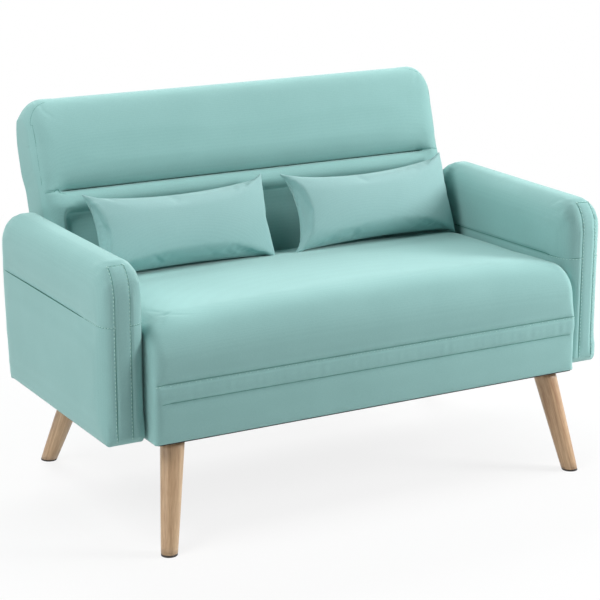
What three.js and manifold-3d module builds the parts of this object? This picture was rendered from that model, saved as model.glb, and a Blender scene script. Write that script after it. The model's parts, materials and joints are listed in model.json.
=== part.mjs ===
// A small two-seat sofa: a sprung seat box between two slab arms with side pockets, a leaning
// padded back, four splayed turned legs and two loose lumbar pillows.
// Millimetres, +Z up, +Y to the rear, +X to the right as seen from the front. The origin is on
// the floor under the middle of the whole sofa; "left" and "right" are as seen from the front.
import * as THREE from "three";
import { mergeVertices } from "three/addons/utils/BufferGeometryUtils.js";
import Module from "manifold-3d";

const wasm = await Module();
wasm.setup();

// ---- Driving dimensions: millimetres and degrees ----

const GAP = 0.3; // left between two pieces that touch
const COVER = 3; // fabric with its thin wadding

const UNDERSIDE = 223; // floor to the underside of the seat box and arms
const SEAT_WIDTH = 1020;
const BASE_DEPTH = 565; // the box under cushion and back
const BASE_HEIGHT = 95;
const CUSHION_HEIGHT = 157; // above the box, at the front
const CUSHION_FALL = 34; // how much lower its top is at the back
const CUSHION_CROWN = 8; // how much higher its top is midway between the arms
const FRONT_ROLL = 72; // depth of the rounded front edge
const FRONT_ROLL_HEIGHT = 76;
const FRONT_BAND = [85, 125]; // its two seams, above the underside
const BAND_PUFF = 3; // how far the band stands out between its seams
const SEAM_DEPTH = 3;
const SEAM_HALF_WIDTH = 4;
const CUSHION_EDGE = 26; // rounding of the cushion's ends
const CUSHION_REAR_ROLL = 16; // and of its rear top edge, seen from the side
const PANEL_EDGE = 14; // rounding of the box's front corners
const HEM_EDGE = 3; // rounding where covers turn under

const RAIL_THICKNESS = 22;
const BEAM_HEIGHT = 60; // the centre beam stays below the springs
const BLOCK_WIDTH = 90; // corner blocks
const BLOCK_HEIGHT = 48;
const BLOCK_CHAMFER = 45;
const DUST_COVER = 1.5;

const SPRINGS = 5;
const SPRING_PITCH = 175; // from one spring to the next
const SPRING_WIRE = 4;
const SPRING_WIDTH = 50; // over its bends
const SPRING_TURNS = 12;
const SPRING_LANDING = 11; // how far its ends lie on the rails
const PAD = 3; // insulator pad over the springs

const RECLINE = 17; // the back leans this far from upright
const BACK_LENGTH = 500; // along the lean, above the box
const BACK_THICKNESS = 110; // at the upper pad
const BACK_TOP_ARC = 98; // height of its rounded top
const BACK_TOP_CENTRE = 60; // from the rear face to the top's highest line
const BACK_CORNER = 75; // rounding of the top corners, seen from the front
const BACK_EDGE = 44; // rounding of the upper pad's ends
const BACK_TOP_EDGE = 20; // and along the top's highest line
const ROLL_EDGE = 28; // of the roll's ends
const LOWER_EDGE = 14; // of its ends beside the cushion
const BACK_REAR_EDGE = 8; // along its rear face
const LOWER_THICKNESS = 72; // the set-in panel that the pillows lean on
const ROLL_BOTTOM = 246; // along the lean
const ROLL_HEIGHT = 48;
const ROLL_THICKNESS = 107;
const ROLL_TUCK = 1; // the set-in panel's face ends this far below the roll
const GROOVE_THICKNESS = 82; // at the bottom of the groove between roll and upper pad
const BORDER_WIDTH = 55; // at either end of panel and groove, as thick as the roll
const BORDER_FLANK = 16; // width over which it rises from them
const PAD_SHOULDER = 50; // height over which the upper pad swells to its full thickness

const POST_WIDTH = 24;
const POST_DEPTH = 26;
const POST_ABOVE_ARC = 18; // the frame reaches this far into the rounded top
const BACK_RAIL_HEIGHT = 50;
const BOARD = 4; // thin board across the back of the frame
const BRACKET_WIDTH = 40;
const BRACKET_STEEL = 4;
const BRACKET_DOWN = 70; // how far it reaches down the rear rail
const BRACKET_UP = 40; // and up the back's bottom rail
const SCREW_HOLE = 6;

const ARM_WIDTH = 90;
const ARM_HEIGHT = 596; // floor to its top
const ARM_SETBACK = 32; // its front behind the seat's
const ARM_DEPTH = 561;
const ARM_FRONT_ARC = 60;
const ARM_REAR_ARC = 75;
const ARM_REAR_TAPER = 18; // how far the rear edge comes in towards the bottom
const ARM_REAR_FOOT_ARC = 18;
const ARM_FRONT_FOOT_ARC = 16;
const ARM_TOP_EDGE = 42;
const ARM_FRONT_EDGE = 27;
const ARM_REAR_EDGE = 24;
const ARM_POST_WIDTH = 36;
const ARM_POST_DEPTH = 28;
const ARM_RAIL_HEIGHT = 28;
const ARM_PADDING = 34; // foam between the arm's frame and its cover
const HEM_SLIT = 8; // where the cover's two hems meet under the arm

const POCKET_ROOM = 7; // clear depth behind the panel
const POCKET_MOUTH = 8; // height of the slit
const POCKET_TOP = 243; // the panel's top edge, above the underside
const POCKET_BOTTOM = 30;
const POCKET_FRONT = 98; // behind the arm's front
const POCKET_REAR = 32; // ahead of the arm's rear

const LEG_TOP_DIAMETER = 50;
const LEG_FOOT_DIAMETER = 34;
const LEG_IN = 55; // leg centre at the underside, in from the seat's side
const FRONT_LEG_IN = 41; // and back from the seat's front
const REAR_LEG_IN = 58; // and ahead of the box's rear
const SIDE_SPLAY = 0.175; // each per unit of height
const FRONT_SPLAY = 0.259;
const REAR_SPLAY = 0.47;
const BOLT_DIAMETER = 8;
const BOLT_IN_LEG = 34;
const BOLT_IN_BLOCK = 36;
const BOLT_CHAMFER = 1;
const GLIDE_HEIGHT = 4;

const PILLOW_WIDTH = 446;
const PILLOW_HEIGHT = 196;
const PILLOW_THICKNESS = 104;
const PILLOW_PULL = 0.05; // how far its edges draw in between the corners
const PILLOW_RIM = 4;
const PILLOW_SKIN = 2;
const PILLOW_LEAN = 20;
// The share of the seat's free width that is on each pillow's left, and how far it is turned.
const PILLOWS = { left: { freeLeft: 0.57, turn: 4 }, right: { freeLeft: 0.844, turn: -1 } };
const ZIP_SLOT = 1.6;

// ---- Sizes worked out from them ----

const seatHalf = SEAT_WIDTH / 2;
const baseTop = UNDERSIDE + BASE_HEIGHT;
const insideCover = COVER + GAP; // from a cover's outer face to what it wraps
const lean = THREE.MathUtils.degToRad(RECLINE);
const blend = THREE.MathUtils.lerp;

// ---- Shapes ----

// A closed geometry as a solid that can be joined and cut.
function solidOf(geometry) {
  const bare = new THREE.BufferGeometry();
  bare.setAttribute("position", geometry.getAttribute("position"));
  bare.setIndex(geometry.index);
  const merged = mergeVertices(bare, 1e-3);
  return new wasm.Manifold(new wasm.Mesh({
    numProp: 3,
    vertProperties: merged.attributes.position.array,
    triVerts: new Uint32Array(merged.index.array),
  }));
}

function geometryOf(solid) {
  const mesh = solid.getMesh();
  const geometry = new THREE.BufferGeometry();
  geometry.setAttribute("position", new THREE.BufferAttribute(mesh.vertProperties, 3));
  geometry.setIndex(new THREE.BufferAttribute(mesh.triVerts, 1));
  geometry.computeVertexNormals();
  return geometry;
}

// A box between two limits on each axis.
function box([x0, x1], [y0, y1], [z0, z1]) {
  const geometry = new THREE.BoxGeometry(x1 - x0, y1 - y0, z1 - z0);
  return geometry.translate((x0 + x1) / 2, (y0 + y1) / 2, (z0 + z1) / 2);
}

const solidBox = (x, y, z) => solidOf(box(x, y, z));

// Points on a quarter of an ellipse in the YZ plane, angles in degrees from +Y towards +Z.
function arc(centreY, centreZ, radiusY, radiusZ, from, to, steps) {
  return Array.from({ length: steps + 1 }, (_, i) => {
    const angle = THREE.MathUtils.degToRad(from + ((to - from) * i) / steps);
    return { y: centreY + radiusY * Math.cos(angle), z: centreZ + radiusZ * Math.sin(angle) };
  });
}

// The same points with a rounding that changes evenly from the first to the last.
const withEdges = (points, from, to) =>
  points.map((p, i) => ({ ...p, edge: blend(from, to, i / (points.length - 1)) }));

// Inward directions at the points of a counter-clockwise outline. A mitred one keeps every side
// at the same distance; a smoothed one looks past small seams.
function inwardAt(outline, i, reach, mitred) {
  const at = (k) => outline[(k + outline.length) % outline.length];
  const here = new THREE.Vector2(at(i).y, at(i).z);
  const before = new THREE.Vector2(at(i - reach).y, at(i - reach).z).sub(here).negate().normalize();
  const after = new THREE.Vector2(at(i + reach).y, at(i + reach).z).sub(here).normalize();
  const along = before.clone().add(after).normalize();
  const inward = new THREE.Vector2(-along.y, along.x);
  const spread = Math.max(0.5, before.dot(along));
  return mitred ? inward.divideScalar(spread) : inward;
}

// A padded slab: an outline in the YZ plane carried across X, with its two ends rounded over.
// Each outline point has the half width (half) and rounding (edge) that the slab has there, and
// can give the direction in which its ends sink (sinks), which is otherwise square to the outline;
// between lists further sections, as shares of the flat width, and shape moves a finished point,
// for crowns and rounded corners.
const END_STEPS = 3;
const LEAST_EDGE = 1; // the smallest rounding of an inset body
function slab(outline, { inset = 0, between = [], shape = (p) => p } = {}) {
  const inwards = outline.map((p, i) => p.sinks ?? inwardAt(outline, i, 2, false));
  const stations = [];
  for (let i = 0; i <= END_STEPS; i += 1) stations.push({ turn: 1 - i / END_STEPS, across: 1 });
  for (const across of between) stations.push({ turn: 0, across });
  for (let i = 0; i <= END_STEPS; i += 1) stations.push({ turn: i / END_STEPS, across: -1 });
  stations.reverse();

  const ringsAt = (depth) => {
    const inner = outline.map((p, i) => {
      const inward = inwardAt(outline, i, 1, true);
      return {
        ...p,
        y: p.y + inward.x * depth,
        z: p.z + inward.y * depth,
        half: p.half - depth,
        edge: Math.max(LEAST_EDGE, p.edge - depth),
      };
    });
    return stations.map(({ turn, across }) => inner.map((p, i) => {
      const angle = (turn * Math.PI) / 2;
      const x = across * (p.half - p.edge) + Math.sign(across) * p.edge * Math.sin(angle);
      const sink = p.edge * (1 - Math.cos(angle));
      return shape(new THREE.Vector3(x, p.y + inwards[i].x * sink, p.z + inwards[i].y * sink), p);
    }));
  };
  return loft(ringsAt(inset), ringsAt(0));
}

// A closed body through equal rings of points, counter-clockwise as seen from its far end. Its
// ends are divided as the outer body's are, so that a body stays inside the one it was inset from.
function loft(rings, outer = rings) {
  const count = rings[0].length;
  const positions = rings.flat().flatMap((p) => [p.x, p.y, p.z]);
  const faces = [];
  for (let r = 0; r + 1 < rings.length; r += 1) {
    for (let i = 0; i < count; i += 1) {
      const a = r * count + i;
      const b = r * count + ((i + 1) % count);
      faces.push(a, b, a + count, b, b + count, a + count);
    }
  }
  const flat = outer[0].map((p) => new THREE.Vector2(p.y, p.z));
  const last = (rings.length - 1) * count;
  for (const [a, b, c] of THREE.ShapeUtils.triangulateShape(flat, [])) {
    faces.push(a, c, b, last + a, last + b, last + c);
  }
  const geometry = new THREE.BufferGeometry();
  geometry.setAttribute("position", new THREE.Float32BufferAttribute(positions, 3));
  geometry.setIndex(faces);
  return solidOf(geometry);
}

// ---- Materials ----

const finish = (color, roughness, metalness = 0) => () =>
  new THREE.MeshStandardMaterial({ color, roughness, metalness });
const mintFabric = finish(0x86c5ba, 0.9);
const foam = finish(0xe6ddbd, 0.95);
const fibre = finish(0xf2f0ea, 1);
const felt = finish(0x8a8780, 1);
const blackCloth = finish(0x1d1d1f, 0.95);
const legWood = finish(0xd3a877, 0.5);
const frameWood = finish(0xc9a66b, 0.75);
const springSteel = finish(0x8b8e92, 0.35, 1);
const blackPlastic = finish(0x2a2724, 0.6);

function addPiece(parent, name, shape, material) {
  const geometry = shape.isBufferGeometry ? shape : geometryOf(shape);
  const mesh = new THREE.Mesh(geometry, material());
  mesh.name = name;
  parent.add(mesh);
  return mesh;
}

const SIDES = { left: -1, right: 1 };

const cushionTop = baseTop + CUSHION_HEIGHT;

// ---- Back: outline in its own leaning frame ----
// The back's group stands at the box's rear top edge and leans by RECLINE, so in it z runs up
// along the rear face (y = 0) and the front is at negative y.

const backGroup = new THREE.Group();
backGroup.position.set(0, BASE_DEPTH, baseTop);
backGroup.rotation.x = -lean;
backGroup.updateMatrix();
const toBack = backGroup.matrix.clone().invert();

// The height along the lean at which the back meets a level plane, at a given thickness.
const alongLean = (level, thickness) =>
  (level - baseTop - thickness * Math.sin(lean)) / Math.cos(lean);

// Thickness of the back's pads at a height along the lean.
const swell = (share, power) => (1 - (1 - share) ** power) ** (1 / power);
const rollTop = ROLL_BOTTOM + ROLL_HEIGHT;
const topArcCentre = BACK_LENGTH - BACK_TOP_ARC;
function backThicknessAt(height) {
  if (height <= ROLL_BOTTOM) return LOWER_THICKNESS;
  if (height < rollTop) {
    const middle = (2 * (height - ROLL_BOTTOM)) / ROLL_HEIGHT - 1;
    return GROOVE_THICKNESS + (ROLL_THICKNESS - GROOVE_THICKNESS) * Math.sqrt(1 - middle ** 2);
  }
  const share = Math.min(1, (height - rollTop) / PAD_SHOULDER);
  return GROOVE_THICKNESS + (BACK_THICKNESS - GROOVE_THICKNESS) * swell(share, 2.4);
}

// Heights that follow each pad's curve, closer together at its ends.
const rollHeights = [0.03, 0.15, 0.5, 0.85, 0.97].map((share) => ROLL_BOTTOM + share * ROLL_HEIGHT);
const shoulderHeights = [0.03, 0.15, 0.45, 1].map((share) => rollTop + share * PAD_SHOULDER);

// Its ends sink level and rearward, so that the back stays clear of the box that it stands on.
// Above the cushion's rear edge the borders come forward, at first at 45 degrees.
const levelRearward = new THREE.Vector2(Math.cos(lean), Math.sin(lean));
const borderFoot = alongLean(cushionTop - CUSHION_FALL, LOWER_THICKNESS) + GAP * 4;
const borderFull = borderFoot + ROLL_THICKNESS - LOWER_THICKNESS;
const padHeights = [borderFull, ROLL_BOTTOM - ROLL_TUCK, ...rollHeights, rollTop];
const backFront = [
  ...[alongLean(baseTop + GAP, LOWER_THICKNESS), borderFoot].map((height) => ({
    z: height, edge: LOWER_EDGE,
  })),
  ...padHeights.map((height) => ({ z: height, edge: ROLL_EDGE, bordered: true })),
  ...shoulderHeights.map((height) => {
    const bordered = backThicknessAt(height) < ROLL_THICKNESS;
    return { z: height, edge: bordered ? ROLL_EDGE : BACK_EDGE, bordered };
  }),
].map((p) => ({ ...p, y: -backThicknessAt(p.z), sinks: levelRearward }));
const topArcFront = BACK_THICKNESS - BACK_TOP_CENTRE;
const frontArc = arc(-BACK_TOP_CENTRE, topArcCentre, topArcFront, BACK_TOP_ARC, 180, 90, 5);
const rearArc = arc(-BACK_TOP_CENTRE, topArcCentre, BACK_TOP_CENTRE, BACK_TOP_ARC, 90, 0, 5);
const backOutline = [
  ...backFront,
  ...withEdges(frontArc, BACK_EDGE, BACK_TOP_EDGE),
  ...withEdges(rearArc, BACK_TOP_EDGE, BACK_REAR_EDGE).slice(1),
  { y: 0, z: topArcCentre / 2, edge: BACK_REAR_EDGE },
  { y: 0, z: alongLean(baseTop + GAP, 0), edge: BACK_REAR_EDGE },
].reverse().map((p) => ({ ...p, half: seatHalf }));

// Brings the ends of a bordered row forward to the roll's face, and lets the top corners, seen
// from the front, follow a quarter circle.
const borderStart = seatHalf - BORDER_WIDTH;
const cornerStart = BACK_LENGTH - BACK_CORNER;
const cornerReach = seatHalf - BACK_CORNER;
function borderAndCorners(point, { y, half, bordered }, inset) {
  const reach = Math.abs(point.x);
  const forward = bordered ? ROLL_THICKNESS - inset + y : 0;
  point.y -= forward * THREE.MathUtils.smoothstep(reach, borderStart, borderStart + BORDER_FLANK);
  const radius = half - cornerReach + BACK_CORNER / 20;
  const beyond = THREE.MathUtils.clamp((reach - cornerReach) / radius, 0, 1);
  if (point.z > cornerStart) {
    point.z = cornerStart + (point.z - cornerStart) * Math.sqrt(1 - beyond ** 2);
  }
  return point;
}
const flankSections = [1, 0.5, 0].map(
  (share) => (borderStart + BORDER_FLANK * share) / (seatHalf - ROLL_EDGE),
);
const backSections = [...flankSections, ...flankSections.toReversed().map((share) => -share)];
const backShape = (inset) => slab(backOutline, {
  inset, between: backSections, shape: (point, row) => borderAndCorners(point, row, inset),
});

// ---- Seat: outline of box and cushion ----

// The lower back's front face, where the cushion ends, at a given level.
const backFaceAt = (level) =>
  BASE_DEPTH + Math.sin(lean) * alongLean(level, LOWER_THICKNESS) - Math.cos(lean) * LOWER_THICKNESS;
const cushionRear = backFaceAt(cushionTop - CUSHION_FALL) - GAP;
const cushionTopAt = (y) => {
  const share = THREE.MathUtils.clamp((y - FRONT_ROLL) / (cushionRear - FRONT_ROLL), 0, 1);
  return cushionTop - CUSHION_FALL * share ** 1.35;
};
const cushionShoulder = cushionTopAt(cushionRear) - CUSHION_EDGE; // where it rounds over at the rear
const rearRoll = cushionRear - CUSHION_REAR_ROLL;
const crownAt = (x) => CUSHION_CROWN * (1 - (x / seatHalf) ** 2);

const seam = (level) => [
  { y: 0, z: level + SEAM_HALF_WIDTH },
  { y: SEAM_DEPTH, z: level },
  { y: 0, z: level - SEAM_HALF_WIDTH },
];
const [lowSeam, highSeam] = FRONT_BAND.map((height) => UNDERSIDE + height);
const rollCentre = cushionTop - FRONT_ROLL_HEIGHT;
const seatOutline = [
  { y: HEM_EDGE, z: UNDERSIDE, edge: HEM_EDGE },
  { y: BASE_DEPTH - HEM_EDGE, z: UNDERSIDE, edge: HEM_EDGE },
  { y: BASE_DEPTH, z: UNDERSIDE + HEM_EDGE, edge: HEM_EDGE },
  { y: BASE_DEPTH, z: baseTop, edge: HEM_EDGE },
  { y: backFaceAt(baseTop) - GAP, z: baseTop, edge: HEM_EDGE },
  { y: backFaceAt(cushionShoulder) - GAP * 2, z: cushionShoulder, edge: PANEL_EDGE },
  { y: rearRoll, z: cushionTopAt(rearRoll), edge: CUSHION_EDGE, crown: 0.7 },
  ...[0.75, 0.5, 0.25].map((share) => {
    const y = blend(FRONT_ROLL, cushionRear, share);
    return { y, z: cushionTopAt(y), edge: CUSHION_EDGE, crown: 1 };
  }),
  ...arc(FRONT_ROLL, rollCentre, FRONT_ROLL, FRONT_ROLL_HEIGHT, 90, 180, 6).map((p, i) => ({
    ...p, edge: CUSHION_EDGE, crown: 1 - i / 6,
  })),
  ...seam(highSeam),
  { y: -BAND_PUFF, z: (highSeam + lowSeam) / 2 },
  ...seam(lowSeam),
  { y: 0, z: UNDERSIDE + HEM_EDGE * 2, edge: PANEL_EDGE },
].map((p) => ({ edge: PANEL_EDGE, crown: 0, half: seatHalf, ...p }));

const raiseCrown = (point, p) => {
  point.z += p.crown * crownAt(point.x);
  return point;
};
const crownSections = [0.67, 0.33, 0, -0.33, -0.67];
const seatShape = (inset) => slab(seatOutline, { inset, between: crownSections, shape: raiseCrown });

// ---- Seat frame ----

const sofa = new THREE.Group();
const seat = new THREE.Group();
sofa.add(seat);

const frameBottom = UNDERSIDE + DUST_COVER + GAP;
const railTop = baseTop - insideCover - SPRING_WIRE - GAP; // spring ends lie under the cover's ledge
const railOuter = seatHalf - insideCover;
const railInner = railOuter - RAIL_THICKNESS;
// The front rail stands behind the cover's seams, which the wadding follows at a slant.
const frontRailOuter = SEAM_DEPTH + insideCover * Math.hypot(1, SEAM_DEPTH / SEAM_HALF_WIDTH);
const frontRailInner = frontRailOuter + RAIL_THICKNESS;
const rearRailInner = BASE_DEPTH - insideCover - RAIL_THICKNESS;
const railSpan = [-railInner + GAP, railInner - GAP];
const railLevels = [frameBottom, railTop];

addPiece(seat, "seat_front_rail",
  box(railSpan, [frontRailOuter, frontRailInner], railLevels), frameWood);
addPiece(seat, "seat_rear_rail",
  box(railSpan, [rearRailInner, BASE_DEPTH - insideCover], railLevels), frameWood);
for (const [name, side] of Object.entries(SIDES)) {
  const across = [railInner, railOuter].map((x) => x * side).sort((a, b) => a - b);
  addPiece(seat, `seat_${name}_rail`,
    box(across, [PANEL_EDGE + SEAM_DEPTH + GAP, BASE_DEPTH - insideCover - GAP], railLevels), frameWood);
}
addPiece(seat, "seat_centre_beam", box(
  [-RAIL_THICKNESS / 2, RAIL_THICKNESS / 2],
  [frontRailInner + GAP, rearRailInner - GAP],
  [frameBottom, frameBottom + BEAM_HEIGHT],
), frameWood);

// ---- Legs: each turned, splayed, cut level at both ends and hung on a bolt in its block ----

const legStation = (end, side) => {
  const front = end === "front";
  const top = new THREE.Vector3(
    side * (seatHalf - LEG_IN), front ? FRONT_LEG_IN : BASE_DEPTH - REAR_LEG_IN, UNDERSIDE,
  );
  const down = new THREE.Vector3(side * SIDE_SPLAY, front ? -FRONT_SPLAY : REAR_SPLAY, -1);
  const length = UNDERSIDE * down.length();
  const turn = new THREE.Quaternion().setFromUnitVectors(new THREE.Vector3(0, 0, -1), down.normalize());
  return { top, length, place: new THREE.Matrix4().compose(top, turn, new THREE.Vector3(1, 1, 1)) };
};

// A solid of revolution about the leg's axis: radius at each distance below the underside.
function turned(stations, sides) {
  const profile = stations.map(([distance, radius]) => new THREE.Vector2(radius, -distance));
  return new THREE.LatheGeometry(profile.reverse(), sides).rotateX(Math.PI / 2);
}

const boltRadius = BOLT_DIAMETER / 2;
function boltShape(place, grow) {
  const radius = boltRadius + grow;
  const tip = BOLT_IN_LEG + grow;
  return solidOf(turned([
    [-BOLT_IN_BLOCK - grow, 0], [-BOLT_IN_BLOCK - grow, radius - BOLT_CHAMFER],
    [BOLT_CHAMFER - BOLT_IN_BLOCK, radius], [tip - radius, radius], [tip, 0],
  ], 12).applyMatrix4(place));
}

function legShape({ length, place }) {
  const topRadius = LEG_TOP_DIAMETER / 2;
  const footRadius = LEG_FOOT_DIAMETER / 2;
  const spare = LEG_TOP_DIAMETER; // cut away below and above
  const radiusAt = (share) => footRadius + (topRadius - footRadius) * (1 - share) ** 0.9;
  return solidOf(turned([
    [-spare, 0], [-spare, topRadius], [0, topRadius],
    ...[0.25, 0.5, 0.75, 1].map((share) => [share * length, radiusAt(share)]),
    [length + spare, footRadius], [length + spare, 0],
  ], 24).applyMatrix4(place));
}

const everywhere = [-SEAT_WIDTH * 2, SEAT_WIDTH * 2];
const levelSlice = (from, to) => solidBox(everywhere, everywhere, [from, to]);
const bolts = [];
const legs = new THREE.Group();
sofa.add(legs);
for (const end of ["front", "rear"]) {
  for (const [name, side] of Object.entries(SIDES)) {
    const station = legStation(end, side);
    const bolt = boltShape(station.place, 0);
    const boltHole = boltShape(station.place, GAP);
    bolts.push(boltHole);
    const whole = legShape(station);
    const leg = whole.intersect(levelSlice(GLIDE_HEIGHT + GAP, UNDERSIDE - GAP)).subtract(boltHole);
    addPiece(legs, `${end}_${name}_leg`, leg, legWood);
    addPiece(legs, `${end}_${name}_hanger_bolt`, bolt, springSteel);
    addPiece(legs, `${end}_${name}_glide`, whole.intersect(levelSlice(0, GLIDE_HEIGHT)), blackPlastic);

    // The block fills the frame's corner, chamfered towards the middle of the seat.
    const outerX = railInner - GAP - (end === "rear" ? GAP : 0);
    const cornerY = end === "front" ? frontRailInner + GAP : rearRailInner - GAP;
    const inward = end === "front" ? 1 : -1;
    const outline = [
      [0, 0], [BLOCK_WIDTH, 0], [BLOCK_WIDTH, BLOCK_WIDTH - BLOCK_CHAMFER],
      [BLOCK_WIDTH - BLOCK_CHAMFER, BLOCK_WIDTH], [0, BLOCK_WIDTH],
    ].map(([dx, dy]) => new THREE.Vector2(side * (outerX - dx), cornerY + inward * dy));
    const block = new THREE.ExtrudeGeometry(new THREE.Shape(outline), {
      depth: BLOCK_HEIGHT, bevelEnabled: false,
    }).translate(0, 0, frameBottom);
    addPiece(seat, `${end}_${name}_corner_block`, solidOf(block).subtract(boltHole), frameWood);
  }
}

// ---- Springs, pad, foam and covers of the seat ----

const springLevel = railTop + GAP + SPRING_WIRE / 2;
const WIRE_SIDES = 5;
const STEPS_PER_TURN = 4;
const SPRING_TENSION = 0.6;

// A spring's middle line with bends of a given swing.
function springLine(x, swing) {
  const start = frontRailInner - SPRING_LANDING;
  const end = rearRailInner + SPRING_LANDING;
  const first = frontRailInner + SPRING_LANDING;
  const pitch = (end - SPRING_LANDING * 2 - first) / SPRING_TURNS;
  const straight = SPRING_WIRE / 2; // of its ends, inside the rails
  const points = [start, first - straight].map((y) => new THREE.Vector3(x, y, springLevel));
  for (let turn = 0; turn < SPRING_TURNS; turn += 1) {
    for (const share of [0.25, 0.75]) {
      const y = first + (turn + share) * pitch;
      points.push(new THREE.Vector3(x + (turn % 2 ? swing : -swing), y, springLevel));
    }
  }
  for (const y of [end - SPRING_LANDING * 2 + straight, end]) {
    points.push(new THREE.Vector3(x, y, springLevel));
  }
  return new THREE.CatmullRomCurve3(points, false, "catmullrom", SPRING_TENSION);
}

// The line swings out a little past its points, by the same share at every size.
const springSwing = (SPRING_WIDTH - SPRING_WIRE) / 2;
const overshoot = Math.max(...springLine(0, 1).getPoints(SPRING_TURNS * 20).map((p) => p.x));
function springShape(x) {
  const wire = Array.from({ length: WIRE_SIDES }, (_, i) => {
    const angle = (i * Math.PI * 2) / WIRE_SIDES;
    return new THREE.Vector2(Math.cos(angle), Math.sin(angle)).multiplyScalar(SPRING_WIRE / 2);
  });
  return new THREE.ExtrudeGeometry(new THREE.Shape(wire), {
    steps: SPRING_TURNS * STEPS_PER_TURN,
    extrudePath: springLine(x, springSwing / overshoot),
  });
}
for (let i = 0; i < SPRINGS; i += 1) {
  const x = (i - (SPRINGS - 1) / 2) * SPRING_PITCH;
  addPiece(seat, `seat_spring_${i + 1}`, springShape(x), springSteel);
}

const padBottom = springLevel + SPRING_WIRE / 2 + GAP;
const padTop = padBottom + PAD;
const foamRear = backFaceAt(baseTop - COVER) - (insideCover + GAP) / Math.cos(lean);
addPiece(seat, "spring_insulator_pad", box(
  [-railOuter, railOuter],
  [PANEL_EDGE, foamRear],
  [padBottom, padTop],
), felt);

const aboveBox = solidBox(everywhere, everywhere, [padTop + GAP, cushionTop * 2]);
const underBack = solidBox(everywhere, [foamRear, BASE_DEPTH * 2], [0, baseTop]);
addPiece(seat, "seat_foam", seatShape(insideCover).intersect(aboveBox).subtract(underBack), foam);

// The box's plan inside its walls, with its two rounded front corners.
function planInside(inset, bottom, top) {
  const radius = PANEL_EDGE - inset;
  const reach = seatHalf - PANEL_EDGE;
  const corner = (side) => Array.from({ length: END_STEPS + 1 }, (_, i) => {
    const angle = (Math.PI / 2) * (i / END_STEPS);
    const across = reach + radius * Math.sin(angle);
    return new THREE.Vector2(side * across, PANEL_EDGE - radius * Math.cos(angle));
  });
  const plan = new THREE.Shape([
    ...corner(1), new THREE.Vector2(seatHalf - inset, BASE_DEPTH - inset),
    new THREE.Vector2(inset - seatHalf, BASE_DEPTH - inset), ...corner(-1).reverse(),
  ]);
  const depth = top - bottom;
  return solidOf(new THREE.ExtrudeGeometry(plan, { depth, bevelEnabled: false }).translate(0, 0, bottom));
}
addPiece(seat, "seat_dust_cover", bolts.reduce(
  (sheet, bolt) => sheet.subtract(bolt), planInside(insideCover, UNDERSIDE, UNDERSIDE + DUST_COVER),
), blackCloth);

// ---- Brackets: a bent steel strap from the rear rail up onto the back's bottom rail ----

const frameRear = insideCover + BOARD + GAP; // from the back's rear face
const frameFront = frameRear + POST_DEPTH;
const strapFoot = alongLean(baseTop, frameFront) + BRACKET_STEEL;
const strapTop = strapFoot + BRACKET_UP;
const bracketMiddle = SPRING_PITCH * (SPRINGS / 2 - 1); // between the two outer springs
const onBack = (thickness, height) =>
  new THREE.Vector3(0, -thickness, height).applyMatrix4(backGroup.matrix);

function bracketShape(side, grow) {
  const railFace = rearRailInner - GAP;
  const lowerRear = railFace + grow;
  const lowerFront = railFace - BRACKET_STEEL - grow;
  const upperRear = frameFront + GAP - grow;
  const upperFront = frameFront + GAP + BRACKET_STEEL + grow;
  const outline = [
    new THREE.Vector3(0, lowerRear, railTop),
    onBack(upperRear, strapFoot),
    onBack(upperRear, strapTop + grow),
    onBack(upperFront, strapTop + grow),
    onBack(upperFront, strapFoot),
    new THREE.Vector3(0, lowerFront, railTop),
    new THREE.Vector3(0, lowerFront, railTop - BRACKET_DOWN - grow),
    new THREE.Vector3(0, lowerRear, railTop - BRACKET_DOWN - grow),
  ];
  const half = BRACKET_WIDTH / 2 + grow;
  const ring = (x) => outline.map((p) => new THREE.Vector3(side * bracketMiddle + x, p.y, p.z));
  return loft([ring(-half), ring(half)]);
}

const screwHoles = (side) => [0.35, 0.75].map((share) => solidOf(
  new THREE.CylinderGeometry(SCREW_HOLE / 2, SCREW_HOLE / 2, BRACKET_STEEL * 6, 10)
    .translate(side * bracketMiddle, rearRailInner - GAP, railTop - share * BRACKET_DOWN),
));

const bracketRoom = [];
for (const [name, side] of Object.entries(SIDES)) {
  const plate = screwHoles(side).reduce((rest, hole) => rest.subtract(hole), bracketShape(side, 0));
  addPiece(seat, `back_bracket_${name}`, plate, springSteel);
  bracketRoom.push(bracketShape(side, GAP));
}
const withoutBrackets = (solid, room) => room.reduce((rest, bracket) => rest.subtract(bracket), solid);

const seatSkin = seatShape(0).subtract(seatShape(COVER))
  .subtract(planInside(COVER, UNDERSIDE - COVER, UNDERSIDE + COVER * 2));
addPiece(seat, "seat_cover", withoutBrackets(seatSkin, bracketRoom), mintFabric);

// ---- Back frame, foam and cover, made in the back's leaning frame ----

sofa.add(backGroup);
const postOuter = seatHalf - BACK_REAR_EDGE - GAP;
const postInner = postOuter - POST_WIDTH;
const postFoot = alongLean(baseTop + GAP, 0) + insideCover;
const postTop = topArcCentre + POST_ABOVE_ARC;
const backRailSpan = [-postInner + GAP, postInner - GAP];

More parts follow.
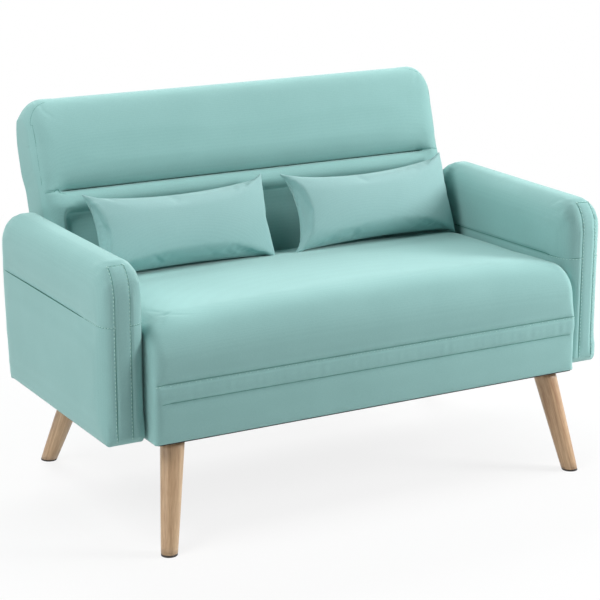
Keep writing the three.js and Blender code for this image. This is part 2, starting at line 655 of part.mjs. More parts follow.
const frameBoxes = {
  back_left_post: [[-postOuter, -postInner], [postFoot, postTop]],
  back_right_post: [[postInner, postOuter], [postFoot, postTop]],
  back_bottom_rail: [backRailSpan, [postFoot, postFoot + BACK_RAIL_HEIGHT]],
  back_top_rail: [backRailSpan, [postTop - BACK_RAIL_HEIGHT, postTop]],
};
const grown = (limits, by) => [limits[0] - by, limits[1] + by];
const frameDepth = [-frameFront, -frameRear];
const boardSpan = [-postOuter, postOuter];
const boardDepth = [-insideCover - BOARD, -insideCover];
const boardHeights = [postFoot, topArcCentre];
const roomInBack = bracketRoom.map((bracket) => solidOf(geometryOf(bracket).applyMatrix4(toBack)));
let backPadding = withoutBrackets(backShape(insideCover), roomInBack)
  .subtract(solidBox(grown(boardSpan, GAP), grown(boardDepth, GAP), grown(boardHeights, GAP)));
for (const [name, [across, heights]] of Object.entries(frameBoxes)) {
  addPiece(backGroup, name, box(across, frameDepth, heights), frameWood);
  backPadding = backPadding.subtract(
    solidBox(grown(across, GAP), grown(frameDepth, GAP), grown(heights, GAP)),
  );
}
addPiece(backGroup, "back_board", box(boardSpan, boardDepth, boardHeights), frameWood);

const paddingBetween = (from, to) => backPadding.intersect(levelSlice(from, to));
addPiece(backGroup, "back_lower_foam", paddingBetween(-BACK_LENGTH, ROLL_BOTTOM - GAP), foam);
addPiece(backGroup, "back_roll_foam", paddingBetween(ROLL_BOTTOM, rollTop - GAP), foam);
addPiece(backGroup, "back_upper_foam", paddingBetween(rollTop, BACK_LENGTH * 2), foam);
addPiece(backGroup, "back_cover",
  withoutBrackets(backShape(0).subtract(backShape(COVER)), roomInBack), mintFabric);

// ---- Arms ----

const armFront = ARM_SETBACK;
const armRear = ARM_SETBACK + ARM_DEPTH;
const armHalf = ARM_WIDTH / 2;
const circleArc = (y, z, radius, from, to, steps) => arc(y, z, radius, radius, from, to, steps);
const armOutline = [
  ...withEdges(circleArc(armRear - ARM_REAR_TAPER - ARM_REAR_FOOT_ARC, UNDERSIDE + ARM_REAR_FOOT_ARC,
    ARM_REAR_FOOT_ARC, 270, 360, 4), HEM_EDGE, ARM_REAR_EDGE),
  { y: armRear - ARM_REAR_TAPER / 3, z: blend(UNDERSIDE, ARM_HEIGHT, 0.32), edge: ARM_REAR_EDGE },
  { y: armRear, z: blend(UNDERSIDE, ARM_HEIGHT, 0.55), edge: ARM_REAR_EDGE },
  ...withEdges(circleArc(armRear - ARM_REAR_ARC, ARM_HEIGHT - ARM_REAR_ARC,
    ARM_REAR_ARC, 0, 90, 5), ARM_REAR_EDGE, ARM_TOP_EDGE),
  ...withEdges(circleArc(armFront + ARM_FRONT_ARC, ARM_HEIGHT - ARM_FRONT_ARC,
    ARM_FRONT_ARC, 90, 180, 5), ARM_TOP_EDGE, ARM_FRONT_EDGE),
  { y: armFront, z: blend(UNDERSIDE, ARM_HEIGHT, 0.25), edge: ARM_FRONT_EDGE },
  ...withEdges(circleArc(armFront + ARM_FRONT_FOOT_ARC, UNDERSIDE + ARM_FRONT_FOOT_ARC,
    ARM_FRONT_FOOT_ARC, 180, 270, 3), ARM_FRONT_FOOT_ARC, HEM_EDGE),
].map((p) => ({ ...p, half: armHalf }));
const armShape = (inset) => slab(armOutline, { inset });

const panelTop = UNDERSIDE + POCKET_TOP;
const pocketAlong = [armFront + POCKET_FRONT, armRear - POCKET_REAR];
const pocketHeights = [UNDERSIDE + POCKET_BOTTOM, panelTop + POCKET_MOUTH];
const pocketSide = (side, from, to) => [from, to].map((x) => x * side).sort((a, b) => a - b);

// The hollow behind the pocket's panel and its mouth, with a wall of the given thickness round it.
const pocketRecess = (side, wall) => solidBox(
  pocketSide(side, armHalf - COVER - POCKET_ROOM - wall, ARM_WIDTH),
  grown(pocketAlong, wall),
  grown(pocketHeights, wall),
);

function makeArm(name, side) {
  const arm = new THREE.Group();
  arm.position.x = side * (seatHalf + GAP + armHalf);
  sofa.add(arm);

  const across = [-ARM_POST_WIDTH / 2, ARM_POST_WIDTH / 2];
  const foot = UNDERSIDE + insideCover;
  const head = ARM_HEIGHT - ARM_PADDING;
  const along = [armFront + ARM_PADDING, armRear - ARM_REAR_TAPER - ARM_PADDING];
  const posts = [foot, head - ARM_RAIL_HEIGHT - GAP];
  const betweenPosts = grown(along, -ARM_POST_DEPTH - GAP);
  const parts = {
    front_post: [[along[0], along[0] + ARM_POST_DEPTH], posts],
    rear_post: [[along[1] - ARM_POST_DEPTH, along[1]], posts],
    bottom_rail: [betweenPosts, [foot, foot + ARM_RAIL_HEIGHT]],
    top_rail: [along, [head - ARM_RAIL_HEIGHT, head]],
  };
  let padding = armShape(insideCover).subtract(pocketRecess(side, insideCover));
  for (const [part, [lengthwise, heights]] of Object.entries(parts)) {
    addPiece(arm, `${name}_arm_${part}`, box(across, lengthwise, heights), frameWood);
    padding = padding.subtract(
      solidBox(grown(across, GAP), grown(lengthwise, GAP), grown(heights, GAP)),
    );
  }
  addPiece(arm, `${name}_arm_foam`, padding, foam);

  const hemSlit = solidBox(
    [-HEM_SLIT / 2, HEM_SLIT / 2], grown(along, -ARM_POST_DEPTH), [0, UNDERSIDE + COVER * 2],
  );
  const inside = armShape(COVER).subtract(pocketRecess(side, COVER));
  addPiece(arm, `${name}_arm_cover`,
    armShape(0).subtract(pocketRecess(side, 0)).subtract(inside).subtract(hemSlit), mintFabric);

  const panelRoom = solidBox(
    pocketSide(side, 0, ARM_WIDTH), grown(pocketAlong, -GAP), [pocketHeights[0] + GAP, panelTop],
  );
  const outerSkin = armShape(0).subtract(armShape(COVER)).intersect(panelRoom);
  addPiece(arm, `${name}_arm_pocket_panel`, outerSkin, mintFabric);
}
for (const [name, side] of Object.entries(SIDES)) makeArm(name, side);

// ---- Pillows: knife-edged, drawn in between their corners, set down on seat and back ----

function pillowGeometry(inset) {
  const geometry = new THREE.BoxGeometry(2, 2, 2, 10, 1, 6);
  const position = geometry.getAttribute("position");
  const halfWidth = PILLOW_WIDTH / 2 - inset;
  const halfHeight = PILLOW_HEIGHT / 2 - inset;
  const halfThickness = (PILLOW_THICKNESS - PILLOW_RIM) / 2 - inset * 0.7;
  const halfRim = PILLOW_RIM / 2 - inset * 0.3;
  const towardsEdge = (share) => Math.sin((share * Math.PI) / 2);
  for (let i = 0; i < position.count; i += 1) {
    const u = towardsEdge(position.getX(i));
    const v = towardsEdge(position.getZ(i));
    const plump = ((1 - u ** 2) * (1 - v ** 2)) ** 0.45;
    position.setXYZ(i,
      halfWidth * u * (1 - PILLOW_PULL * (1 - v ** 2)),
      Math.sign(position.getY(i)) * (halfRim + halfThickness * plump),
      halfHeight * v * (1 - PILLOW_PULL * (1 - u ** 2)));
  }
  return geometry;
}

// Moves a pillow down and back, each time by the way that is still clear, until it rests on both.
const seatBody = seatShape(0);
const backBody = solidOf(geometryOf(backShape(0)).applyMatrix4(backGroup.matrix));
function settle(group) {
  const pillow = solidOf(pillowGeometry(0));
  const clearOf = (body) => {
    group.updateMatrix();
    return pillow.transform(group.matrix.elements).minGap(body, SEAT_WIDTH) - GAP;
  };
  for (let pass = 0; pass < 12; pass += 1) {
    group.position.z -= clearOf(seatBody);
    group.position.y += clearOf(backBody);
  }
}

const freeWidth = SEAT_WIDTH - PILLOW_WIDTH * 2;
for (const [i, [name, { freeLeft, turn }]] of Object.entries(PILLOWS).entries()) {
  const x = freeWidth * freeLeft + PILLOW_WIDTH * (i + 0.5) - seatHalf;
  const pillow = new THREE.Group();
  pillow.rotation.set(-THREE.MathUtils.degToRad(PILLOW_LEAN), 0, THREE.MathUtils.degToRad(turn), "ZXY");
  pillow.position.set(x, cushionRear - PILLOW_THICKNESS, cushionTop + PILLOW_HEIGHT / 2);
  settle(pillow);
  sofa.add(pillow);
  const zipSlot = solidBox(
    [-PILLOW_WIDTH / 4, PILLOW_WIDTH / 4],
    [-ZIP_SLOT / 2, ZIP_SLOT / 2],
    [-PILLOW_HEIGHT, -PILLOW_HEIGHT / 3],
  );
  const skin = solidOf(pillowGeometry(0)).subtract(solidOf(pillowGeometry(PILLOW_SKIN)));
  addPiece(pillow, `${name}_pillow_cover`, skin.subtract(zipSlot), mintFabric);
  addPiece(pillow, `${name}_pillow_filling`, pillowGeometry(PILLOW_SKIN + GAP), fibre);
}

// ---- The origin stands on the floor under the middle of the whole sofa ----

sofa.updateMatrixWorld(true);
const limits = new THREE.Box3().setFromObject(sofa, true);
sofa.position.y = -(limits.min.y + limits.max.y) / 2;

export default sofa;
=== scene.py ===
# %% [markdown]
# # A small upholstered sofa, step by step
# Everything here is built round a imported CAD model: its frame, springs, blocks and bolts stay as
# they are, and each soft or turned piece gets a finer body of its own that stands in the same
# place. All lengths are metres, +Z is up, -Y is the front and +X the right as seen from there.

# %% Load the frame
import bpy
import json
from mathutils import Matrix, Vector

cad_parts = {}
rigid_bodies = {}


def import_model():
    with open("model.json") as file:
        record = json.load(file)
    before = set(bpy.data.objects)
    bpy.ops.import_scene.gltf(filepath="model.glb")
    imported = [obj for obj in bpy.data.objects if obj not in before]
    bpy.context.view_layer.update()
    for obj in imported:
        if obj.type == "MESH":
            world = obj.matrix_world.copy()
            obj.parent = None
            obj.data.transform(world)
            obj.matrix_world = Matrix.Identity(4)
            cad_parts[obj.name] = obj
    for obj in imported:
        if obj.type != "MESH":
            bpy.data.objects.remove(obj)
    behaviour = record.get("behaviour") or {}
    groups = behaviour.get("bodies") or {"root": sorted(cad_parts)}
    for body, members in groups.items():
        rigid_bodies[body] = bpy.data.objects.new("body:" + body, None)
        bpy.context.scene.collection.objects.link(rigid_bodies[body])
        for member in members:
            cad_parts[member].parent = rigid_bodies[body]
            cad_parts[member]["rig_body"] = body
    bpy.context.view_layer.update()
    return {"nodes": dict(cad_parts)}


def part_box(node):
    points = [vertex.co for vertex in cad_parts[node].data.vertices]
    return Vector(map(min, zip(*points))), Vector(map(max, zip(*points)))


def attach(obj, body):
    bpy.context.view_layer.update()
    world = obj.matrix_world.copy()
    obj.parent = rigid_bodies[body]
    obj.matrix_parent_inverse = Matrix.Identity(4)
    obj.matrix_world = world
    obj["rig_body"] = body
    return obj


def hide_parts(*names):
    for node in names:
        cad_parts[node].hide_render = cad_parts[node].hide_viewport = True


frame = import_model()

# %% Other tools
import json
import math
import bmesh
import bpy
import numpy as np
from mathutils import Matrix, Vector
from mathutils.bvhtree import BVHTree

# %% [markdown]
# ## Where things are
# A piece goes where the CAD says. These few corners of CAD nodes give the rest: the seat's front
# plane and the arms' thickness. The depth and height of the box, the lean of the back and the
# thickness of its lower panel are the drawing's own numbers.

# %% Places read from the frame
def smooth(low, high, value):
    """0 up to low, 1 from high on, and an even S between them."""
    share = np.clip((value - low) / (high - low), 0, 1)
    return share * share * (3 - 2 * share)


seat_low, seat_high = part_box("seat_cover")
arm_low, arm_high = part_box("right_arm_cover")
BAND_PUFF = 0.003  # how far the seat's band stands out between its two seams
FRONT = seat_low.y + BAND_PUFF
UNDERSIDE = seat_low.z
SEAT_HALF = seat_high.x
ARM_HEIGHT = arm_high.z
ARM_HALF = (arm_high.x - arm_low.x) / 2
ARM_MIDDLE = (arm_high.x + arm_low.x) / 2
BASE_DEPTH, BASE_HEIGHT = 0.565, 0.095
BASE_TOP = UNDERSIDE + BASE_HEIGHT
LEAN, LOWER = math.radians(17), 0.072
SIDES = {"right": 1, "left": -1}
print("seat front at", round(FRONT, 4), "underside at", round(UNDERSIDE, 4))

# %% [markdown]
# ## Shader maths
# A node tree is easier to read as arithmetic. `Wire` holds one output socket, and an expression
# such as `1 - mask` adds the Math nodes it needs. Any other node comes from `Wire.node`: its
# settings first, then the values or wires of its sockets.

# %% A wire that can be calculated with
class Wire:
    def __init__(self, tree, socket=None):
        self.tree, self.socket = tree, socket

    def node(self, kind, settings=None, output=0, **sockets):
        """A new node's output. A socket goes by its name, or by its number as i0, i1 and so on."""
        made = self.tree.nodes.new(kind)
        for name, value in (settings or {}).items():
            setattr(made, name, value)
        for name, value in sockets.items():
            key = int(name[1:]) if name[1:].isdigit() else name.replace("_", " ")
            if isinstance(value, Wire):
                self.tree.links.new(value.socket, made.inputs[key])
            else:
                made.inputs[key].default_value = value
        return Wire(self.tree, made.outputs[output])

    def maths(self, operation, *values, clamp=False):
        sockets = {f"i{i}": value for i, value in enumerate(values)}
        return self.node("ShaderNodeMath", {"operation": operation, "use_clamp": clamp}, **sockets)

    def blended(self, low, high):
        """The colour between low and high at this value."""
        return self.node("ShaderNodeMix", {"data_type": "RGBA", "clamp_factor": True}, output=2,
                         i0=self, i6=low, i7=high)

# %% Signs and colours
# Plus, minus and times, with the wire on either side of the sign.
for sign, operation in (("add", "ADD"), ("sub", "SUBTRACT"), ("mul", "MULTIPLY")):
    setattr(Wire, f"__{sign}__", lambda a, b, kind=operation: a.maths(kind, a, b))
    setattr(Wire, f"__r{sign}__", lambda a, b, kind=operation: a.maths(kind, b, a))


def srgb(red, green, blue):
    """A colour as painters name it, 0 to 255, in the linear numbers that a shader works in."""
    share = np.array([red, green, blue]) / 255
    linear = np.where(share <= 0.04045, share / 12.92, ((share + 0.055) / 1.055) ** 2.4)
    return (*linear, 1.0)

print("mint in linear numbers:", np.round(srgb(143, 189, 186), 3))

# %% A finish: a new material with its Principled shader
def finish(name, **constants):
    """Returns the material, its shader and the place on the object, in metres, as a wire."""
    material = bpy.data.materials.new(name)
    material.use_nodes = True
    tree = material.node_tree
    shader = tree.nodes["Principled BSDF"]
    for socket, value in constants.items():
        shader.inputs[socket.replace("_", " ")].default_value = value
    return material, shader, Wire(tree).node("ShaderNodeTexCoord", output="Object")


def plug(shader, **wires):
    for socket, wire in wires.items():
        wire.tree.links.new(wire.socket, shader.inputs[socket.replace("_", " ")])


def bump(shader, strength, distance, height):
    """Small relief that the light sees, as high as the distance in metres."""
    plug(shader, Normal=height.node("ShaderNodeBump", Strength=strength, Distance=distance,
                                    Height=height))


def noise(place, scale, detail, roughness=0.5, **more):
    return place.node("ShaderNodeTexNoise", Vector=place, Scale=scale, Detail=detail,
                      Roughness=roughness, **more)

# %% [markdown]
# ## The upholstery fabric
# A flat woven polyester in mint: fine threads one way and across, a slightly mottled yarn, and
# the soft bloom that short fibres give when a surface is seen along its face. The weave could be
# a picture, but then it would need a layout on every panel. Here three waves, one along each
# axis, add up to small round thread crossings on a panel that faces any way. The bloom has the
# cloth's own tint, since white bloom would turn the deep folds grey.

# %% Mint fabric
def parts_of(place):
    """Its x, y and z."""
    split = place.node("ShaderNodeSeparateXYZ", Vector=place)
    return [Wire(place.tree, split.socket.node.outputs[i]) for i in range(3)]


THREAD_PITCH = 0.0022
BLOOM_TINT = (0.78, 1.0, 0.98, 1.0)


def weave_height(place):
    """Thread crossings, about 0 to 1."""
    turns = 2 * math.pi / THREAD_PITCH
    waves = [part.maths("COSINE", part * turns) for part in parts_of(place)]
    return (waves[0] + waves[1] + waves[2]) * 0.1667 + 0.5


def fabric(name, deep, pale, bloom=0.5):
    """Deep and pale are the two tones between which its yarn wanders."""
    material, shader, place = finish(name, Sheen_Weight=bloom, Sheen_Roughness=0.4,
                                     Sheen_Tint=BLOOM_TINT, Specular_IOR_Level=0.25)
    weave, yarn, cloud = weave_height(place), noise(place, 420, 2, 0.6), noise(place, 9, 3)
    mottle = yarn * 0.45 + weave * 0.2 + cloud * 0.35
    plug(shader, Base_Color=mottle.blended(deep, pale), Roughness=0.8 + yarn * 0.12)
    bump(shader, 0.32, 0.0006, weave * 0.6 + yarn * 0.4)
    return material


# The covers; the pillows, in the same mint painted paler for the light they catch; a painted shade for
# the bottom of a crease; and the inside of a pocket, a lining painted darker as shade.
MINT = fabric("mint_fabric", srgb(130, 175, 172), srgb(158, 203, 200))
# The pillows wear the covers' mint, painted paler for the stronger light that falls on them: painted
# light.
PILLOW_MINT_PAINTED_LIGHT = fabric("mint_pillow_fabric_painted_light", srgb(142, 182, 181), srgb(168, 208, 207))
# The crease's cloth is mint painted deep and without bloom: painted shade for the bottom of a seam.
CREASE_SHADE = fabric("mint_fabric_in_shade", srgb(62, 124, 113), srgb(78, 142, 131), 0.05)
# The pocket's lining is mint painted darker: painted shade inside the slit.
LINING_SHADE = fabric("pocket_lining_in_shade", srgb(84, 142, 132), srgb(104, 162, 152), 0.2)
print("fabrics:", [cloth.name for cloth in (MINT, PILLOW_MINT_PAINTED_LIGHT, CREASE_SHADE, LINING_SHADE)])

# %% [markdown]
# ## Thread, wood and the small hard parts
# Sewing thread is a little glossier than the cloth. The legs are a light hardwood, turned and
# lacquered: the grain runs along the leg, so its noise is stretched that way, with a few darker
# streaks on top. The glides are dark plastic. Inside, the frame is plain sawn wood.

# %% Thread and hard parts
def plain(name, color, roughness, **constants):
    """A simple finish that still varies a little in tone and gloss."""
    material, shader, place = finish(name, **constants)
    grain = noise(place, 160, 3)
    darker = tuple(c * 0.82 for c in color[:3]) + (1.0,)
    plug(shader, Base_Color=grain.blended(darker, color), Roughness=roughness - 0.08 + grain * 0.16)
    bump(shader, 0.2, 0.0004, grain)
    return material


THREAD = plain("sewing_thread", srgb(184, 226, 219), 0.6)
PLASTIC = plain("dark_glide_plastic", srgb(44, 38, 34), 0.5)
STEEL = plain("plain_steel", srgb(150, 152, 154), 0.35, Metallic=1.0)
FELT = plain("grey_felt", srgb(128, 124, 118), 0.95)
BLACK_CLOTH = plain("black_dust_cloth", srgb(30, 30, 32), 0.95, Sheen_Weight=0.2)

# %% Wood
def wood(name, pale, dark, gloss, coarse, stretch):
    """Coarse is how finely the grain lies, per metre. Stretch turns the place so that the grain
    runs along Z."""
    material, shader, place = finish(name, Coat_Weight=gloss, Coat_Roughness=0.3)
    along = place.node("ShaderNodeVectorMath", {"operation": "MULTIPLY"}, i0=stretch(place),
                       i1=(coarse, coarse, coarse * 0.06))
    bend, pores = noise(along, 0.3, 2), noise(along, 6, 2, 0.7)
    rings = noise(along, 1, 5, 0.62, Distortion=0.8)
    grain = (rings * 0.6 + pores * 0.3 + bend * 0.35) * 2.0 - 0.78
    plug(shader, Base_Color=grain.blended(dark, pale), Roughness=0.58 - rings * 0.18)
    bump(shader, 0.2, 0.0005, pores)
    return material

# %% Which way the grain runs
def joined(x, y, z):
    """Three wires as one place."""
    return x.node("ShaderNodeCombineXYZ", X=x, Y=y, Z=z)


# How far the legs run outwards, forwards and rearwards for each unit of height.
SPLAY, FRONT_SLANT, REAR_SLANT = 0.175, -0.259, 0.47


def along_the_legs(place):
    """Takes the legs' splay out of the place, so that every leg stands upright in it."""
    x, y, z = parts_of(place)
    below = UNDERSIDE - z
    rear = y.maths("GREATER_THAN", y, FRONT + BASE_DEPTH / 2)
    across = x.maths("ABSOLUTE", x) - below * SPLAY
    slant = rear * (REAR_SLANT - FRONT_SLANT) + FRONT_SLANT
    return joined(across * x.maths("SIGN", x), y - below * slant, z)


def along_x(place):
    """Turns the place so that rails, which run across the sofa, have their grain along X."""
    x, y, z = parts_of(place)
    return joined(y, z, x)


# Each wood: pale, dark, gloss and grain.
LEG_WOOD = wood("turned_leg_wood", srgb(238, 207, 166), srgb(146, 102, 66), 0.3, 75, along_the_legs)
SAWN = srgb(206, 176, 128), srgb(158, 122, 78), 0.0, 45
RAIL_WOOD = wood("sawn_rail_wood", *SAWN, along_x)
POST_WOOD = wood("sawn_post_wood", *SAWN, lambda place: place)
print("woods:", LEG_WOOD.name, RAIL_WOOD.name, POST_WOOD.name)

# %% [markdown]
# ## Outlines
# Each padded part of this sofa is a slab: one outline seen from the side, carried across from
# end to end, with both ends rounded over. So an outline is all there is to draw, as rows of y, z
# and the rounding that the ends have there. Arcs and straight runs give it its points.

# %% Outline helpers
def arc(centre, radii, start, end, steps=24):
    """Points on an ellipse in the YZ plane; degrees, from +Y towards +Z."""
    angles = np.radians(np.linspace(start, end, steps + 1))
    return np.column_stack([centre[0] + radii[0] * np.cos(angles),
                            centre[1] + radii[1] * np.sin(angles)])


SQUARE = 0.008  # how far apart the points of a large cover lie


def rounded(points, edges):
    """Adds a column of end roundings, running evenly from the first to the last."""
    points = np.atleast_2d(points)
    first, last = edges if isinstance(edges, tuple) else (edges, edges)
    return np.column_stack([points, np.linspace(first, last, len(points))])

# %% Points along an outline
def distances(path):
    """How far along the path each of its points is."""
    return np.concatenate([[0], np.cumsum(np.linalg.norm(np.diff(path, axis=0), axis=1))])


def picked(path, along, places):
    """The points of the path at other distances along it."""
    return np.column_stack([np.interp(places, along, column) for column in path.T])


NEAR_A_SEAM = np.array([-0.006, -0.003, -0.0012, 0, 0.0012, 0.003, 0.006])


def dense(outline, step, seams=()):
    """The outline with a point every step, and a few close together at each (y, z) in seams."""
    closed = np.vstack([outline, outline[:1]])
    along = distances(closed[:, :2])
    fine = np.linspace(0, along[-1], 8000, endpoint=False)
    path = picked(closed, along, fine)
    places = np.linspace(0, along[-1], round(along[-1] / step), endpoint=False)
    for seam in seams:
        middle = fine[np.argmin(np.linalg.norm(path[:, :2] - seam, axis=1))]
        places = places[np.abs(places - middle) > 1.5 * NEAR_A_SEAM[-1]]
        places = np.append(places, middle + NEAR_A_SEAM)
    return picked(closed, along, np.sort(places))


def inward(outline):
    """Unit directions into a counter-clockwise outline, from the neighbours of each point."""
    ahead, behind = np.roll(outline, -1, 0), np.roll(outline, 1, 0)
    along = ahead[:, :2] - behind[:, :2]
    along /= np.linalg.norm(along, axis=1, keepdims=True)
    return np.column_stack([-along[:, 1], along[:, 0]])

# %% A closed piece
MOST_CORNERS = 60


def skin(rings, count):
    """The faces of a body that is so many rings of count points each, with both ends closed."""
    faces = [(r * count + k, r * count + (k + 1) % count,
              (r + 1) * count + (k + 1) % count, (r + 1) * count + k)
             for r in range(rings - 1) for k in range(count)]
    return faces + [tuple(range(count))[::-1], tuple(range((rings - 1) * count, rings * count))]


def solid(name, points, faces, material=None):
    """A face with more corners than MOST_CORNERS subdivides slowly, so it's split first."""
    mesh = bpy.data.meshes.new(name)
    mesh.from_pydata([tuple(p) for p in points], [], faces)
    shell = bmesh.new()
    shell.from_mesh(mesh)
    ends = [face for face in shell.faces if len(face.verts) > MOST_CORNERS]
    bmesh.ops.triangulate(shell, faces=ends)
    bmesh.ops.recalc_face_normals(shell, faces=shell.faces)
    shell.to_mesh(mesh)
    shell.free()
    piece = bpy.data.objects.new(name, mesh)
    bpy.context.scene.collection.objects.link(piece)
    if material:
        piece.data.materials.append(material)
    return piece

# %% A slab from an outline
END_SECTIONS = 8


def slab(name, outline, half, sinks=None, shape=None, sections=90, close=()):
    """Half is one width or one for each row, sinks are the directions in which the ends round
    over, close gives shares of half that need more sections, and shape may move the finished
    points of a section."""
    edge = outline[:, 2]
    half = np.broadcast_to(half, len(outline))
    sinks = inward(outline) if sinks is None else sinks
    rounding = [(turn, 1.0) for turn in np.linspace(1, 0, END_SECTIONS)]
    evenly = np.linspace(-1, 1, sections)[1:-1]
    extra = np.array([*close, *(-share for share in close)])
    if len(extra):
        evenly = evenly[np.abs(evenly[:, None] - extra).min(1) > 0.006]
    flat = [(0.0, across) for across in np.sort(np.append(evenly, extra))[::-1]]
    stations = rounding + flat + [(turn, -1.0) for turn, _ in reversed(rounding)]
    rings = []
    for turn, across in stations:
        angle = turn * math.pi / 2
        x = across * (half - edge) + np.sign(across) * edge * math.sin(angle)
        sunk = outline[:, :2] + sinks * (edge * (1 - math.cos(angle)))[:, None]
        rings.append(np.column_stack([x, sunk]))
    if shape:
        rings = [shape(points) for points in rings]
    return solid(name, np.vstack(rings), skin(len(rings), len(outline)))

# %% [markdown]
# ## Padding by simulation
# Foam under a tight cover never looks machined: the cloth spans it with a slight swell between
# its seams and small tensions at the corners. Sculpting that by hand is slow, so each piece gets
# Blender's cloth with a little inner pressure and no gravity, and is stepped for twenty frames.
# Points at a seam or on the frame are held. Cloth needs faces of one size: the seat and back are
# drawn that way, and the arms are remeshed into even squares first.

# %% Reading and moving a mesh's points
def settled(piece):
    """The mesh as its modifiers leave it, with the modifiers gone."""
    graph = bpy.context.evaluated_depsgraph_get()
    made = bpy.data.meshes.new_from_object(piece.evaluated_get(graph))
    piece.modifiers.clear()
    old, piece.data = piece.data, made
    made.name = old.name
    bpy.data.meshes.remove(old)
    return piece


def even_squares(piece, size):
    """A mesh of equal squares, without the small steps that they leave on curved parts."""
    remesh = piece.modifiers.new("even squares", "REMESH")
    remesh.mode, remesh.voxel_size, remesh.adaptivity = "VOXEL", size, 0.0
    calm = piece.modifiers.new("calm", "LAPLACIANSMOOTH")
    calm.lambda_factor, calm.iterations = 0.6, 6
    return settled(piece)


def read(piece, what):
    """One row of three numbers for each point."""
    flat = np.empty(len(piece.data.vertices) * 3)
    piece.data.vertices.foreach_get(what, flat)
    return flat.reshape(-1, 3)


def coordinates(piece):
    return read(piece, "co")


def directions(piece):
    """Which way the surface faces at each point."""
    return read(piece, "normal")


def place_points(piece, points):
    piece.data.vertices.foreach_set("co", points.ravel())
    piece.data.update()

# %% Blow up, keep the result
FRAMES = 20


def dress(piece, hold, pressure):
    """Cloth on the piece: hold gives each point 0, free, to 1, fixed."""
    group = piece.vertex_groups.new(name="held")
    held = np.clip(hold(coordinates(piece)), 0, 1)
    for level in range(1, 11):
        members = np.where(np.round(held * 10) == level)[0]
        if len(members):
            group.add(members.tolist(), level / 10, "REPLACE")
    cloth = piece.modifiers.new("cover", "CLOTH").settings
    cloth.quality, cloth.mass = 4, 0.4
    cloth.tension_stiffness = cloth.compression_stiffness = 12
    cloth.shear_stiffness, cloth.bending_stiffness = 4, 0.6
    cloth.use_pressure, cloth.uniform_pressure_force = True, pressure
    cloth.effector_weights.gravity = 0
    cloth.vertex_group_mass, cloth.pin_stiffness = "held", 2.0


def blow_up(pieces, most):
    """Steps all the covers together, then lets no point end further than most from its start."""
    scene = bpy.context.scene
    before = {piece: coordinates(piece) for piece in pieces}
    for step in range(1, FRAMES + 1):
        scene.frame_set(step)
    for piece in pieces:
        settled(piece)
        moved = coordinates(piece) - before[piece]
        far = np.linalg.norm(moved, axis=1, keepdims=True)
        moved *= np.minimum(1, most / np.maximum(far, 1e-9))
        place_points(piece, before[piece] + moved)
        print(piece.name, "wanted to move", round(float(far.max()) * 1000, 1), "mm")
    scene.frame_set(1)

# %% Smooth shading after one subdivision
def smoothed(piece):
    """Shades it as one smooth surface."""
    piece.data.polygons.foreach_set("use_smooth", [True] * len(piece.data.polygons))
    piece.data.update()
    return piece


def polished(piece, material):
    """A finished cover: finer, in its cloth and smooth."""
    piece.modifiers.new("finer", "SUBSURF").levels = 1
    settled(piece)
    piece.data.materials.clear()
    piece.data.materials.append(material)
    return smoothed(piece)

# %% [markdown]
# ## Seams
# A seam pulls the cloth in along a line, keeps a thin shadow at its bottom and may show its
# stitches. Once a cover is finished, each seam is a line of points laid on it: the cloth near the
# line is drawn in, a hair-thin cord in a painted shade closes the crease, and thread runs beside it.

# %% Tubes, for cords and threads
def tubes(name, runs, radius, material, sides=6):
    """One piece of many thin tubes: each run is its points, and the ends are drawn together."""
    points, faces = [], []
    for run in runs:
        run = [Vector(p) for p in run]
        side = None
        start = len(points)
        for i, here in enumerate(run):
            along = (run[min(i + 1, len(run) - 1)] - run[max(i - 1, 0)]).normalized()
            if side is None:
                side = along.orthogonal().normalized()
            side = (side - along * side.dot(along)).normalized()
            across = along.cross(side)
            size = radius * (0.35 if i in (0, len(run) - 1) else 1)
            for k in range(sides):
                angle = 2 * math.pi * k / sides
                points.append(here + (side * math.cos(angle) + across * math.sin(angle)) * size)
        faces += [tuple(start + i for i in face) for face in skin(len(run), sides)]
    return smoothed(solid(name, points, faces, material))

# %% A line on a finished cover
def laid_on(piece, path, step=0.004):
    """The path with a point every step, each on the nearest point of the piece, and the normals."""
    path = np.array(path, float)
    along = distances(path)
    path = picked(path, along, np.linspace(0, along[-1], max(3, round(along[-1] / step))))
    tree = BVHTree.FromObject(piece, bpy.context.evaluated_depsgraph_get())
    found = [tree.find_nearest(Vector(p)) for p in path]
    return np.array([f[0] for f in found]), np.array([f[1] for f in found])


def draw_in(piece, line, depths, width):
    """Sinks the cloth near a line, by a depth for each of the line's points."""
    points, normals = coordinates(piece), directions(piece)
    low, high = line.min(0) - width * 3, line.max(0) + width * 3
    close = np.where(((points > low) & (points < high)).all(1))[0]
    for some in np.array_split(close, len(close) // 2000 + 1):
        gaps = np.linalg.norm(points[some, None] - line[None], axis=2)
        nearest = gaps.argmin(1)
        sunk = depths[nearest] * np.exp(-(gaps.min(1) / width) ** 2)
        points[some] -= normals[some] * sunk[:, None]
    place_points(piece, points)

# %% A seam
# A stitch lies a little above the cloth, and its two ends dip into it.
THREAD_RADIUS, LIFT, DIP = 0.0008, 0.0005, 0.0007
seam_pieces = {}


